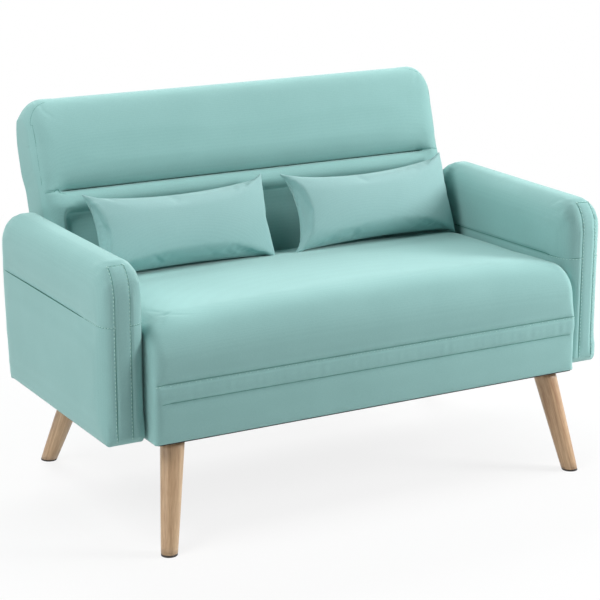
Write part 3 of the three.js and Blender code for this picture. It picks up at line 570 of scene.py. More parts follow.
def seam(name, piece, path, depth, width, stitch=0.0, beside=0.0, cord=0.0005):
    """Draws the cloth in, closes the crease with a cord painted in shade, and adds stitches if
    they have a pitch. Beside is how far the thread runs to one side of the crease, and cord is the
    crease's own radius."""
    line, normals = laid_on(piece, path)
    fade = np.minimum(1, np.minimum(np.arange(len(line)), np.arange(len(line))[::-1]) / 5)
    draw_in(piece, line, depth * fade, width)
    # The cord's deep mint is painted shade at the bottom of the crease.
    made = [tubes(f"{name}_crease", [line - normals * (depth * 0.85 * fade)[:, None]], cord, CREASE_SHADE)]
    if stitch:
        line, normals = laid_on(piece, path, stitch)
        along = np.gradient(line, axis=0)
        along /= np.linalg.norm(along, axis=1, keepdims=True)
        line = line + np.cross(along, normals) * beside + normals * LIFT
        runs = [[p - a * stitch * 0.28 - n * DIP, p - a * stitch * 0.14, p + a * stitch * 0.14,
                 p + a * stitch * 0.28 - n * DIP] for p, a, n in zip(line, along, normals)]
        made.append(tubes(f"{name}_stitches", runs, THREAD_RADIUS, THREAD))
    seam_pieces.setdefault(piece, []).extend(made)
    print(name, "runs", round(float(distances(line)[-1]), 3), "m")

# %% [markdown]
# ## The seat
# One cover goes over the box and the foam above it. From the side it rises from the underside
# past a puffed band between two seams, turns over a deep front roll and falls a little towards
# the back, where it ends under the back's roll. The box runs on to the rear below that.

# %% Seat outline
# The top's height and its fall to the rear, and how deep and high the front roll is.
CUSHION_TOP = BASE_TOP + 0.157
FALL, ROLL, ROLL_HEIGHT = 0.034, 0.072, 0.076
LOW_SEAM, HIGH_SEAM = UNDERSIDE + 0.085, UNDERSIDE + 0.125


def back_face(level):
    """How far behind the seat's front the back's face is at a level."""
    along = (level - BASE_TOP - LOWER * math.sin(LEAN)) / math.cos(LEAN)
    return BASE_DEPTH + math.sin(LEAN) * along - math.cos(LEAN) * LOWER


REAR = back_face(CUSHION_TOP - FALL)


def cushion_top(y):
    """The seat's height at a distance behind its front."""
    share = np.clip((y - ROLL) / (REAR - ROLL), 0, 1)
    return CUSHION_TOP - FALL * share ** 1.35


# Under the box the cover ends in hems, with a recess between them for the dust cloth.
HEM, SHEET = 0.012, 0.0012
# How much both ends are rounded: at the box, at the band, and at the cushion.
BOX_END, BAND_END, CUSHION_END = 0.004, 0.014, 0.026
top_run = np.linspace(REAR - 0.016, ROLL, 12)
shoulder = cushion_top(REAR) - CUSHION_END
seat_outline = dense(np.vstack([
    rounded([[0.004, UNDERSIDE], [HEM, UNDERSIDE], [HEM + 0.002, UNDERSIDE + SHEET],
             [BASE_DEPTH - HEM - 0.002, UNDERSIDE + SHEET], [BASE_DEPTH - HEM, UNDERSIDE],
             [BASE_DEPTH - 0.004, UNDERSIDE], [BASE_DEPTH, UNDERSIDE + 0.004],
             [BASE_DEPTH, BASE_TOP], [back_face(BASE_TOP), BASE_TOP]], BOX_END),
    rounded([back_face(shoulder), shoulder], BAND_END),
    rounded(np.column_stack([top_run, cushion_top(top_run)]), CUSHION_END),
    rounded(arc((ROLL, CUSHION_TOP - ROLL_HEIGHT), (ROLL, ROLL_HEIGHT), 90, 180)[1:], CUSHION_END),
    rounded([[0, HIGH_SEAM], [-BAND_PUFF, (LOW_SEAM + HIGH_SEAM) / 2], [0, LOW_SEAM]], BAND_END),
    rounded([[0, UNDERSIDE + 0.006], [0.001, UNDERSIDE + 0.002]], (BAND_END, 0.010)),
]), SQUARE, [(0, HIGH_SEAM), (0, LOW_SEAM)])
print("seat outline:", len(seat_outline), "points")

# %% Seat cover
SIDE_DROP = 0.018


def crowned(points):
    """The top falls towards the arms, most of all over the front roll."""
    x, y, z = points.T
    rise = np.clip((z - HIGH_SEAM) / (CUSHION_TOP - HIGH_SEAM), 0, 1)
    forward = np.clip((REAR - y) / 0.3, 0, 1)
    points[:, 2] -= SIDE_DROP * rise * forward * np.abs(x / SEAT_HALF) ** 2.5
    return points


LOOSE = 0.08  # how far a free point is still held
SEAM_REACH = 0.008  # how far from its line a seam still holds the cloth


def near(values, level, reach):
    """1 on the level, falling to 0 at reach from it."""
    return np.clip(1 - np.abs(values - level) / reach, 0, 1)


def seat_hold(points):
    """Both seams, the underside, the box and the two sides stay."""
    x, y, z = points.T
    front = (y < 0.03) * 1.0
    held = LOOSE + near(z, HIGH_SEAM, SEAM_REACH) * front + near(z, LOW_SEAM, SEAM_REACH) * front
    held += (z < UNDERSIDE + 0.016) + (z < BASE_TOP + 0.01) * (y > 0.05)
    return held + np.clip((np.abs(x) - 0.498) / 0.012, 0, 1)


seat = slab("seat_cover_and_foam", seat_outline, SEAT_HALF, shape=crowned, sections=102)
dress(seat, seat_hold, pressure=3.0)
print("seat:", len(seat.data.vertices), "points")

# %% [markdown]
# ## The back
# Seen from the side the back leans, so it's drawn upright first and tipped afterwards. From the
# bottom: a set-in panel, a narrow roll, a groove, and the tall upper pad with a rounded top.
# Its ends come forward as borders beside the panel, and its top corners are round.

# %% Back outline, upright
# The whole length and thickness and the groove's depth, the roll's ends and thickness, the curve
# of the top, and the borders at both ends.
LENGTH, THICK, GROOVE = 0.500, 0.110, 0.075
ROLL_FROM, ROLL_TO, ROLL_THICK = 0.246, 0.294, 0.107
TOP_ARC, TOP_CENTRE, SHOULDER = 0.098, 0.060, 0.050
BORDER, FLANK, BORDER_FOOT = 0.055, 0.016, 0.108
# How much both ends are rounded: at the foot, the borders, the upper pad, its crest and the rear.
FOOT_END, BORDER_END, PAD_END, CREST_END, REAR_END = 0.014, 0.028, 0.044, 0.020, 0.008
heights = np.concatenate([
    np.linspace(-0.0217, ROLL_FROM, 8)[:-1],
    ROLL_FROM + (ROLL_TO - ROLL_FROM) * np.array([0.0, 0.03, 0.1, 0.25, 0.5, 0.75, 0.9, 0.97, 1.0]),
    ROLL_TO + SHOULDER * np.array([0.03, 0.1, 0.2, 0.4, 0.7, 1.0]),
])


def thickness_at(height):
    """How far the front stands before the rear face."""
    if height < ROLL_FROM:
        return LOWER
    if height < ROLL_TO:
        middle = 2 * (height - ROLL_FROM) / (ROLL_TO - ROLL_FROM) - 1
        return GROOVE + (ROLL_THICK - GROOVE) * math.sqrt(max(0, 1 - middle ** 2))
    share = min(1, (height - ROLL_TO) / SHOULDER)
    return GROOVE + (THICK - GROOVE) * (1 - (1 - share) ** 2.4) ** (1 / 2.4)


def end_edge(height):
    return float(np.interp(height, [BORDER_FOOT, BORDER_FOOT + 0.03, ROLL_TO, ROLL_TO + SHOULDER],
                           [FOOT_END, BORDER_END, BORDER_END, PAD_END]))


arc_base = LENGTH - TOP_ARC
back_outline = dense(np.vstack([
    [[-thickness_at(h), h, end_edge(h)] for h in heights],
    rounded(arc((-TOP_CENTRE, arc_base), (THICK - TOP_CENTRE, TOP_ARC), 180, 90),
            (PAD_END, CREST_END)),
    rounded(arc((-TOP_CENTRE, arc_base), (TOP_CENTRE, TOP_ARC), 90, 0)[1:], (CREST_END, REAR_END)),
    rounded([[0, 0.3], [0, 0.002]], REAR_END),
])[::-1], SQUARE, [(-GROOVE, ROLL_TO)])
print("back outline:", len(back_outline), "points")

# %% The back's width, borders and corners
CORNER, REAR_CORNER, WIDEST = 0.058, 0.036, SEAT_HALF + 0.005
ROLL_MIDDLE = (ROLL_FROM + ROLL_TO) / 2


def back_half(height):
    """Half the width: a little more above the arms."""
    return SEAT_HALF + (WIDEST - SEAT_HALF) * smooth(0.30, 0.35, height)


def past_the_panel(x, z, corner=0.022):
    """How far a point of the front lies outside the set-in panel, whose upper corners are round."""
    dx = np.abs(x) - (SEAT_HALF - BORDER - corner)
    dz = z - (ROLL_FROM + 0.004 - corner)
    outside = np.hypot(np.maximum(dx, 0), np.maximum(dz, 0))
    return outside + np.minimum(np.maximum(dx, dz), 0) - corner


def bordered(points):
    """Brings the ends forward to the roll's face and rounds the top corners."""
    x, y, z = points.T
    row_y, row_z = back_outline[:, 0], back_outline[:, 1]
    foot = np.interp(row_z, [BORDER_FOOT, BORDER_FOOT + 0.035], [0, 1])
    inner = SEAT_HALF - BORDER
    panel = smooth(0, FLANK, past_the_panel(x, row_z))
    lower_roll = smooth(inner - 0.030, inner, np.abs(x))
    groove = 0.93 * smooth(inner - 0.010, inner + 0.030, np.abs(x))
    share = np.where(row_z < ROLL_MIDDLE, lower_roll, groove)
    share = np.where(row_z < ROLL_FROM + 0.004, panel, share)
    points[:, 1] -= np.where(on_front, np.maximum(0, ROLL_THICK + row_y) * foot * share, 0)
    corner = np.interp(row_y, [-THICK, 0], [CORNER, REAR_CORNER])
    beyond = np.clip((np.abs(x) - (WIDEST - corner)) / (corner * 1.01), 0, 1)
    above = np.maximum(z - (LENGTH - corner), 0)
    points[:, 2] = np.where(above > 0, LENGTH - corner + above * np.sqrt(1 - beyond ** 2), z)
    return points

# %% Back cover
levelled = np.array([math.cos(LEAN), math.sin(LEAN)])
on_front = (back_outline[:, 0] < -TOP_CENTRE - 0.0001) & (back_outline[:, 1] < arc_base - 0.01)
sinks = np.where(on_front[:, None], levelled, inward(back_outline))
back = slab("back_cover_and_foam", back_outline, back_half(back_outline[:, 1]), sinks, bordered,
            close=np.arange(0.90, 0.996, 0.0085))


def back_hold(points):
    """Groove, panel edge, foot, rear face and ends stay."""
    x, y, z = points.T
    front = (y < -0.03) * 1.0
    held = LOOSE + near(z, ROLL_TO, SEAM_REACH) * front
    held += near(z, ROLL_FROM, SEAM_REACH) * front * (np.abs(x) < SEAT_HALF - BORDER)
    held += (z < 0.02) + np.clip((y + 0.02) / 0.01, 0, 0.8)
    return held + np.clip((np.abs(x) - 0.500) / 0.01, 0, 1)


dress(back, back_hold, pressure=4.0)
print("back:", len(back.data.vertices), "points")

# %% [markdown]
# ## The arms
# Each arm is a tall slab with a nearly round top and softer corners: a wide curve at the top
# rear, a smaller one at the top front, and a rear edge that comes in towards the floor. It is
# drawn once and set on both sides.

# %% Arm outline
# How much both faces are rounded at the top, front and rear, and the curves of the outline at
# the top rear, the top front and the front foot.
ARM_FRONT, ARM_REAR = 0.032, 0.593
TOP_EDGE, FRONT_EDGE, REAR_EDGE = 0.042, 0.027, 0.024
REAR_CURVE, TOP_CURVE, FOOT_CURVE = 0.075, 0.06, 0.016


def quarter(y, z, radius, start):
    """A quarter of a circle about a centre, from the start angle on."""
    return arc((y, z), (radius, radius), start, start + 90)


arm_outline = dense(np.vstack([
    rounded(quarter(ARM_REAR - 0.036, UNDERSIDE + 0.018, 0.018, 270), (0.004, REAR_EDGE)),
    rounded([[ARM_REAR - 0.006, UNDERSIDE + 0.12], [ARM_REAR, UNDERSIDE + 0.205]], REAR_EDGE),
    rounded(quarter(ARM_REAR - REAR_CURVE, ARM_HEIGHT - REAR_CURVE, REAR_CURVE, 0),
            (REAR_EDGE, TOP_EDGE)),
    rounded(quarter(ARM_FRONT + TOP_CURVE, ARM_HEIGHT - TOP_CURVE, TOP_CURVE, 90),
            (TOP_EDGE, FRONT_EDGE)),
    rounded([ARM_FRONT, UNDERSIDE + 0.06], FRONT_EDGE),
    rounded(quarter(ARM_FRONT + FOOT_CURVE, UNDERSIDE + FOOT_CURVE, FOOT_CURVE, 180),
            (FOOT_CURVE, 0.004)),
]), 0.006)
POCKET_Z, POCKET_FRONT, POCKET_REAR = 0.468, 0.130, 0.561
STRIP_OUTER, STRIP_INNER = 0.022, -0.011  # the front strip's seams, from the arm's middle


def arm_hold(points):
    """The underside, the pocket's mouth and the two seams of the front strip stay."""
    x, y, z = points.T
    held = LOOSE + (z < UNDERSIDE + 0.02) + near(z, POCKET_Z, 0.012) * (x > 0.02) * (y > 0.08)
    strip = near(x, STRIP_OUTER, 0.010) + near(x, STRIP_INNER, 0.010)
    return held + strip * (y < ARM_FRONT + 0.012)


arms = {}
for name, side in SIDES.items():
    arm = slab(f"{name}_arm_cover_and_foam", arm_outline, ARM_HALF, sections=12)
    even_squares(arm, SQUARE)
    if name == "left":
        arm.data.transform(Matrix.Scale(-1, 4, (1, 0, 0)))
        arm.data.flip_normals()
    dress(arm, lambda points: arm_hold(points * [side, 1, 1]), pressure=3.0)
    arms[name] = arm
print("arm:", len(arm.data.vertices), "points")

# %% [markdown]
# ## The pillows
# A lumbar pillow is two flat panels sewn together at the edge and stuffed. So it starts as just
# that: two thin sheets joined at their rim, blown up until the rim draws in and puckers. It is
# then brought to the size of its CAD solid, tipped back and set down where that solid is.

# %% Two panels, joined at the rim
def pillow_outline(u, v, width, height, pulled):
    """Where a point of the panel lies, from -1 to 1 each way, once its edges have come in."""
    left, right, bottom, top = pulled
    x = u * width / 2 - np.sign(u) * np.where(u < 0, left, right) * (1 - v ** 2) * u ** 2
    z = v * height / 2 - np.sign(v) * np.where(v < 0, bottom, top) * (1 - u ** 2) * v ** 2
    return x, z


RIM_HALF, CROWDED = 0.0012, 1.35


def panels(name, width, height, depth, pulled, across, up):
    """Pulled says how far the left, right, bottom and top edges come in between the corners.
    The points crowd towards the rim, where the panels curve most."""
    def at(i, j):
        return j * (across + 1) + i

    count = (across + 1) * (up + 1)
    u, v = np.meshgrid(np.linspace(-1, 1, across + 1), np.linspace(-1, 1, up + 1))
    u, v = (np.sin(w * CROWDED) / math.sin(CROWDED) for w in (u, v))
    bulge = RIM_HALF + depth / 2 * ((1 - u ** 2) * (1 - v ** 2)) ** 0.48
    x, z = pillow_outline(u, v, width, height, pulled)
    front, rear = (np.column_stack([x.ravel(), side * bulge.ravel(), z.ravel()])
                   for side in (-1, 1))
    faces = []
    for j in range(up):
        for i in range(across):
            quad = (at(i, j), at(i + 1, j), at(i + 1, j + 1), at(i, j + 1))
            faces += [quad, tuple(k + count for k in quad)[::-1]]
    rim = ([at(i, 0) for i in range(across)] + [at(across, j) for j in range(up)]
           + [at(i, up) for i in range(across, 0, -1)] + [at(0, j) for j in range(up, 0, -1)])
    for a, b in zip(rim, rim[1:] + rim[:1]):
        faces.append((a, a + count, b + count, b))
    return solid(name, np.vstack([front, rear]), faces), rim

# %% Pillow covers
PILLOW_WIDTH, PILLOW_DEPTH, PILLOW_HEIGHT = 0.446, 0.104, 0.196
# How far the left, right, bottom and top edges come in.
PULLED = {"left": (0.012, 0.003, 0.007, 0.017), "right": (0.019, 0.002, 0.008, 0.020)}
pillows = {}
for name, pulled in PULLED.items():
    pillow, rim = panels(f"{name}_lumbar_pillow", PILLOW_WIDTH, PILLOW_HEIGHT, PILLOW_DEPTH * 0.9,
                         pulled, 90, 40)
    dress(pillow, lambda points: np.zeros(len(points)), pressure=4.0)
    pillows[name] = pillow
print("pillow:", len(pillow.data.vertices), "points,", len(rim), "on the rim")

# %% [markdown]
# ## Stuffing and setting down
# On the real sofa the covers are pulled over the foam and stapled, and the pillows are stuffed
# with fibre. Here all the covers swell together, no point further than 4 mm, and the loose
# pillows up to 12 mm. Then each cover goes to its place on the frame, and the back is tipped.

# %% Blow everything up, set the covers in place
blow_up([seat, back, *arms.values()], 0.004)
blow_up(list(pillows.values()), 0.012)
for piece in (seat, back, *arms.values()):
    polished(piece, MINT)
for piece in pillows.values():
    polished(piece, PILLOW_MINT_PAINTED_LIGHT)

tip = Matrix.Translation((0, FRONT + BASE_DEPTH, BASE_TOP)) @ Matrix.Rotation(-LEAN, 4, "X")
back.data.transform(tip)
seat.data.transform(Matrix.Translation((0, FRONT, 0)))
for name, arm in arms.items():
    arm.data.transform(Matrix.Translation((SIDES[name] * ARM_MIDDLE, FRONT, 0)))

# %% [markdown]
# ## Gathers and rims of the pillows
# Where two layers are sewn round a stuffed edge, the cloth puckers square to the seam. Gathers
# that fine would need a far closer simulation, so waves along the rim make them. The seam itself
# is a thin tube round the rim.

# %% Gathers of a pillow
PUCKER = 0.0014


def gathered(points, width, height, seed, bottom):
    """Small gathers square to the seam: along the left edge, and along part of the bottom. Bottom
    says how strong the second ones are."""
    draws = np.random.default_rng(seed)
    x, y, z = points.T

    def wave(along, pitch):
        return sum(np.sin(2 * math.pi * along / (pitch * scale) + draws.uniform(0, 6.28)) * weight
                   for scale, weight in ((1.0, 0.6), (1.37, 0.5), (0.71, 0.35)))

    from_left = x + width / 2 - 0.012 * (1 - (2 * z / height) ** 2)
    from_bottom = z + height / 2 - 0.006
    lift = wave(z + 0.006 * np.sin(z * 60), 0.0125) * np.exp(-(from_left / 0.017) ** 2)
    part = np.exp(-(from_bottom / 0.015) ** 2 - ((x + width * 0.2) / 0.09) ** 2)
    lift += bottom * wave(x, 0.014) * part
    puffed = np.clip(np.abs(y) / 0.008, 0, 1)
    return points + np.column_stack([0 * x, np.sign(y) * lift * puffed * PUCKER, 0 * x])

# %% Pillows in place
# Width and height, place of the middle from the seat's front, turn, roll and lean in degrees, and
# the seed of the gathers and how strong they are along the bottom.
SET_DOWN = {
    "left": ((0.440, 0.194), (-0.2193, 0.4734, 0.5368), (1.3, 0.4, 21), (4, 0.3)),
    "right": ((0.442, 0.192), (0.2655, 0.4750, 0.5362), (2.3, 0.0, 22), (5, 1.0)),
}
for name, ((width, height), (x, y, z), (turn, roll, lean), gathers) in SET_DOWN.items():
    pillow = pillows[name]
    points = coordinates(pillow)
    middle = (points.min(0) + points.max(0)) / 2
    size = points.max(0) - points.min(0)
    points = (points - middle) / size * [width, PILLOW_DEPTH, height]
    place_points(pillow, gathered(points, width, height, *gathers))
    share = np.linspace(-1, 1, 90)
    one = np.ones_like(share)
    u = np.concatenate([share, one, -share, -one])
    v = np.concatenate([-one, share, one, -share])
    x_rim, z_rim = pillow_outline(u, v, width, height, PULLED[name])
    rim_points, _ = laid_on(pillow, np.column_stack([x_rim, 0 * x_rim, z_rim]), 0.003)
    rim_points[:, 1] *= 0.3
    edge = tubes(f"{name}_pillow_edge_seam", [rim_points], 0.0013, PILLOW_MINT_PAINTED_LIGHT)
    seam_pieces[pillow] = [edge]
    place = Matrix.Translation((x, FRONT + y, z))
    for angle, axis in ((turn, "Z"), (-lean, "X"), (roll, "Y")):
        place = place @ Matrix.Rotation(math.radians(angle), 4, axis)
    for piece in (pillow, edge):
        piece.data.transform(place)
    print(name, "pillow before fitting to its CAD size:", np.round(size, 3))

# %% [markdown]
# ## Wrinkles and steps
# Cloth that is a little too long shows it: fine gathers along the seat's band, and a few short
# wrinkles at its front left corner. An arm's cover is several panels, and each panel stands a
# millimetre or two in or out of the next one. Neither needs a simulation: the points of the
# finished covers are moved a little, out or in.

# %% Steps in the arms' faces
def pocket_level(y):
    """The height of the pocket's mouth, along an arm's outer face."""
    return 0 * y + POCKET_Z + 0.002


def inner_level(y):
    """The height of the crease along an arm's inner face."""
    return np.interp(y, [0.10, 0.48], [0.466, 0.456])


def stepped(piece, towards, level, start, end, above, below, fade=0.03):
    """Moves one face of an arm out or in above and below a level, less and less away from it."""
    points = coordinates(piece)
    facing = np.clip(directions(piece)[:, 0] * towards, 0, 1)
    y = points[:, 1] - FRONT
    gap = points[:, 2] - level(y)
    along = smooth(start, start + fade, y) * (1 - smooth(end - fade, end, y))
    near_level = np.exp(-np.abs(gap) / fade) * smooth(0, 0.003, np.abs(gap))
    points[:, 0] += towards * facing * along * near_level * np.where(gap > 0, above, below)
    place_points(piece, points)


for name, arm in arms.items():
    side = SIDES[name]
    stepped(arm, side, pocket_level, POCKET_FRONT, POCKET_REAR, above=-0.0012, below=0.0018)
    stepped(arm, -side, inner_level, 0.09, 0.56, above=0.0015, below=-0.0025)
print("steps in both faces of", len(arms), "arms")

# %% Gathers and wrinkles of the seat
# Each wrinkle's middle (to the left, and behind the front), direction, half length and depth.
CRUMPLE = [((0.443, 0.090), 0.2, 0.010, 0.0030), ((0.462, 0.066), 0.9, 0.022, 0.0016),
           ((0.425, 0.074), -0.5, 0.024, 0.0012), ((0.452, 0.120), 1.9, 0.020, 0.0012)]
CRUMPLE_HALF, GATHER_DEPTH = 0.0045, 0.00018


def ruffled(points, seed=5):
    """How far each point moves out, along the band and at the cushion's front left corner."""
    draws = np.random.default_rng(seed)
    x, y, z = points[:, 0], points[:, 1] - FRONT, points[:, 2]
    wave = sum(np.sin(2 * math.pi * x / pitch + draws.uniform(0, 6.28) + 2 * np.sin(x * 23 + k))
               for k, pitch in enumerate((0.017, 0.024, 0.041)))
    band = np.exp(-((z - (LOW_SEAM + HIGH_SEAM) / 2) / 0.022) ** 2) * (y < 0.01)
    raised = GATHER_DEPTH * wave * band
    for (left, behind), turn, length, depth in CRUMPLE:
        along, across = math.cos(turn), math.sin(turn)
        dx, dy = x + left, y - behind
        far, aside = dx * along + dy * across, -dx * across + dy * along
        share = np.exp(-(far / length) ** 2 - (aside / CRUMPLE_HALF) ** 2)
        raised = raised - depth * share * (z > CUSHION_TOP - 0.06)
    return raised


points = coordinates(seat)
place_points(seat, points + directions(seat) * ruffled(points)[:, None])
print("seat: gathers on the band and", len(CRUMPLE), "wrinkles")

# %% [markdown]
# ## The arm pockets
# Each arm has a flat pocket sewn into its outer face, whose mouth is a slit along the arm. A cut
# is the plainest way to make it: a thin room with a narrow mouth is taken out of the arm, and the
# cut faces keep the room's lining, in a darker mint that is painted shade.

# %% Pockets cut into the arms
def pocket_room(side):
    """A slit through the outer face, narrow at both ends, and the flat room below and behind it."""
    places = np.linspace(POCKET_FRONT, POCKET_REAR, 40)
    share = (places - POCKET_FRONT) / (POCKET_REAR - POCKET_FRONT)
    mouths = 0.0006 + 0.0017 * np.clip(4 * share * (1 - share), 0, 1) ** 0.4
    # Across the arm the cut starts outside it, and the room lies between two planes.
    outside, outer, inner, bottom = 0.625, 0.5955, 0.5905, 0.262
    points = []
    for y, mouth in zip(places, mouths):
        profile = [(outside, POCKET_Z), (outside, POCKET_Z + mouth), (inner, POCKET_Z + mouth),
                   (inner, bottom), (outer, bottom), (outer, POCKET_Z - 0.0001)]
        points += [(side * x, FRONT + y, z) for x, z in profile]
    return solid("pocket_room", points, skin(len(places), len(profile)), LINING_SHADE)


def carved(piece, room):
    """Takes the room out of the piece. Only edges between two cover faces stay smooth."""
    cut = piece.modifiers.new("pocket", "BOOLEAN")
    cut.operation, cut.solver, cut.object = "DIFFERENCE", "EXACT", room
    cut.material_mode = "TRANSFER"
    settled(piece)
    bpy.data.objects.remove(room)
    mesh = bmesh.new()
    mesh.from_mesh(piece.data)
    for edge in mesh.edges:
        lined = [face.material_index for face in edge.link_faces]
        edge.smooth = lined[0] == lined[-1] == 0
    mesh.to_mesh(piece.data)
    mesh.free()


for name, arm in arms.items():
    carved(arm, pocket_room(SIDES[name]))
    print(name, "arm:", len(arm.data.polygons), "faces of", [m.name for m in arm.data.materials])

# %% [markdown]
# ## Where the covers are sewn
# The seat's band lies between two seams. The back has a groove above its roll and a seam round
# each end. Each arm has a narrow strip down its front, and level with the pocket a short seam on
# either side of it. Every seam is made the same way, so a line of places is all each one needs.

# %% Seams of the seat and back
def front_line(level, reach):
    """Straight across the seat's front."""
    return [(x, FRONT, level) for x in np.linspace(-reach, reach, 40)]


LONG_STITCH, SHORT_STITCH = 0.008, 0.007
seam("seat_upper_seam", seat, front_line(HIGH_SEAM, SEAT_HALF - 0.002), 0.0035, 0.0045,
     stitch=LONG_STITCH, beside=0.003)
seam("seat_lower_seam", seat, front_line(LOW_SEAM, 0.495), 0.0030, 0.0045)


def on_back(x, depth, height):
    """A place on the leaning back, from its depth in front of the rear face and its height."""
    return tip @ Vector((x, -depth, height))


groove = [on_back(x, GROOVE + 0.001, ROLL_TO) for x in np.linspace(-0.455, 0.478, 60)]
seam("back_groove_crease", back, groove, 0.0010, 0.003, cord=0.0011)
GUSSET_OUT, GUSSET_CURVE = 0.511, 0.054
for name, start in (("left", 0.452), ("right", 0.474)):
    side = SIDES[name]
    path = [on_back(side * x, ROLL_THICK, ROLL_TO) for x in np.linspace(start, 0.513, 12)]
    seam(f"back_{name}_groove_end", back, path, 0.0022, 0.003)
    path = [on_back(side * GUSSET_OUT, 0.097, height)
            for height in np.linspace(0.31, LENGTH - CORNER, 10)]
    for turn in np.radians(np.linspace(0, 80, 12)):
        out, up = GUSSET_CURVE * math.cos(turn), GUSSET_CURVE * math.sin(turn)
        path.append(on_back(side * (WIDEST - CORNER + out), 0.088, LENGTH - CORNER + up))
    seam(f"back_{name}_gusset_seam", back, path, 0.0012, 0.003, cord=0.0004)

# %% Seams of the arms
# Where the strip's two seams run, and where the seam across its upper end lies, as y and z.
OUTER_X, INNER_X, CROSS = 0.577, 0.544, (0.060, 0.587)


def on_arm(side, *places):
    """Turns (x, y from the seat's front, z) on the right arm into places on either arm."""
    return [(side * x, FRONT + y, z) for x, y, z in places]


for name, arm in arms.items():
    side = SIDES[name]
    for part, x, hem in (("outer", OUTER_X, 0.012), ("inner", INNER_X, 0.016)):
        path = on_arm(side, (x, ARM_FRONT, UNDERSIDE + hem), (x, ARM_FRONT, 0.536),
                      (x, ARM_FRONT + 0.010, 0.568), (x, *CROSS))
        seam(f"{name}_arm_{part}_strip_seam", arm, path, 0.0020, 0.0040, stitch=LONG_STITCH,
             beside=side * 0.002)
    short = {
        "cross": (0.0016, 0.0015, (OUTER_X, *CROSS), (INNER_X, *CROSS)),
        "outer_short": (0.0015, -0.0015, (0.604, POCKET_FRONT - 0.004, POCKET_Z),
                        (0.604, 0.070, POCKET_Z), (0.596, 0.040, POCKET_Z),
                        (OUTER_X, ARM_FRONT, POCKET_Z)),
        "inner_short": (0.0015, 0.0015, (0.509, 0.100, 0.465), (0.511, 0.060, 0.466),
                        (0.527, 0.034, 0.468), (INNER_X, ARM_FRONT, 0.469)),
    }
    for part, (depth, beside, *places) in short.items():
        seam(f"{name}_arm_{part}_seam", arm, on_arm(side, *places), depth, 0.003,
             stitch=SHORT_STITCH, beside=beside)
    crease = on_arm(side, *((0.509, y, inner_level(y)) for y in np.linspace(0.52, 0.10, 20)))
    seam(f"{name}_arm_inner_crease", arm, crease, 0.0020, 0.004, cord=0.0009)

# %% [markdown]
# ## The legs
# Turned from one length of wood, tapering from the block down, and splayed both ways. A lathe
# would cut them round and straight, so a stack of circles along a slanted axis is all it takes;
# top and foot are then cut level, which leaves them slightly oval there.

# %% A turned taper
EDGE = 0.0012


def turned(name, top, foot, radii, high, low, sides=56):
    """A taper round the line from top to foot, with level ends at the two heights. Two rings just
    inside the edge of each end keep the soft light on that edge narrow."""
    axis = (foot - top).normalized()
    tilt = Vector((0, 0, -1)).rotation_difference(axis)
    rings = [(high, EDGE), (high, 0.3 * EDGE), *((z, 0) for z in np.linspace(high, low, 14)),
             (low, 0.3 * EDGE), (low, EDGE)]
    points = []
    for z, inside in rings:
        share = min(1, max(0, (top.z - z) / (top.z - foot.z)))
        radius = radii[1] + (radii[0] - radii[1]) * (1 - share) ** 0.9
        for k in range(sides):
            angle = 2 * math.pi * k / sides
            out = tilt @ Vector((math.cos(angle), math.sin(angle), 0))
            start = top + out * (radius - inside)
            points.append(start + axis * ((z - start.z) / axis.z))
    piece = solid(name, points, skin(len(rings), sides))
    for polygon in piece.data.polygons:
        polygon.use_smooth = len(polygon.vertices) == 4
    return piece

# %% Four legs and their glides
LEG_FROM_SIDE, FRONT_LEG, REAR_LEG = 0.055, 0.041, BASE_DEPTH - 0.058
# Radii at the box and at the floor, the glide's height, and the gap of a joint.
LEG_RADII, GLIDE_RADII, GLIDE_HEIGHT, JOINT = (0.025, 0.017), (0.025, 0.0168), 0.004, 0.0003
legs = []
for end, y, slant in (("front", FRONT_LEG, FRONT_SLANT), ("rear", REAR_LEG, REAR_SLANT)):
    for name in ("left", "right"):
        side = SIDES[name]
        top = Vector((side * (SEAT_HALF - LEG_FROM_SIDE), FRONT + y, UNDERSIDE))
        foot = top + Vector((side * SPLAY, slant, -1)) * UNDERSIDE
        leg = turned(f"{end}_{name}_turned_leg", top, foot, LEG_RADII, UNDERSIDE - JOINT,
                     GLIDE_HEIGHT + JOINT)
        glide = turned(f"{end}_{name}_foot_glide", top, foot, GLIDE_RADII, GLIDE_HEIGHT, 0.0)
        leg.data.materials.append(LEG_WOOD)
        glide.data.materials.append(PLASTIC)
        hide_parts(f"{end}_{name}_leg")
        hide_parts(f"{end}_{name}_glide")
        legs += [leg, glide]
print("legs and glides:", len(legs))

# %% [markdown]
# ## Every piece moves with its body
# The covers stand for the CAD's covers and foams. The pillows ride on bodies of their own, since
# they can be lifted off. The hard nodes inside keep their shape and get their finishes.

# %% Bodies, replaced nodes and finishes
for piece in (seat, back, *arms.values(), *legs):
    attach(piece, "sofa")
for name, pillow in pillows.items():
    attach(pillow, f"{name}_pillow")
    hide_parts(f"{name}_pillow_cover", f"{name}_pillow_filling")
for piece, sewn in seam_pieces.items():
    for part in sewn:
        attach(part, piece["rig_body"])
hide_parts("seat_cover", "seat_foam")
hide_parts("back_cover", "back_lower_foam", "back_roll_foam", "back_upper_foam")
for name, arm in arms.items():
    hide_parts(f"{name}_arm_cover", f"{name}_arm_foam", f"{name}_arm_pocket_panel")

# The first word that a node's name has in it gives the node's finish.
KINDS = (("dust", BLACK_CLOTH), ("insulator", FELT), ("spring_", STEEL), ("bolt", STEEL),
         ("bracket", STEEL), ("post", POST_WOOD), ("", RAIL_WOOD))
for name, node in frame["nodes"].items():
    node.data.materials.clear()
    node.data.materials.append(next(material for word, material in KINDS if word in name))
print("finishes given to", len(frame["nodes"]), "nodes")

# %% [markdown]
# ## Floor, light and camera
# A pale floor that catches the shadow, and six soft lamps: three overhead, of which the rear one
# is the strongest, one low at the left, one at the right and one at the front right. The camera
# stands to the left of the front, well above the seat, with a long lens, so that the sofa's lines
# stay nearly parallel.

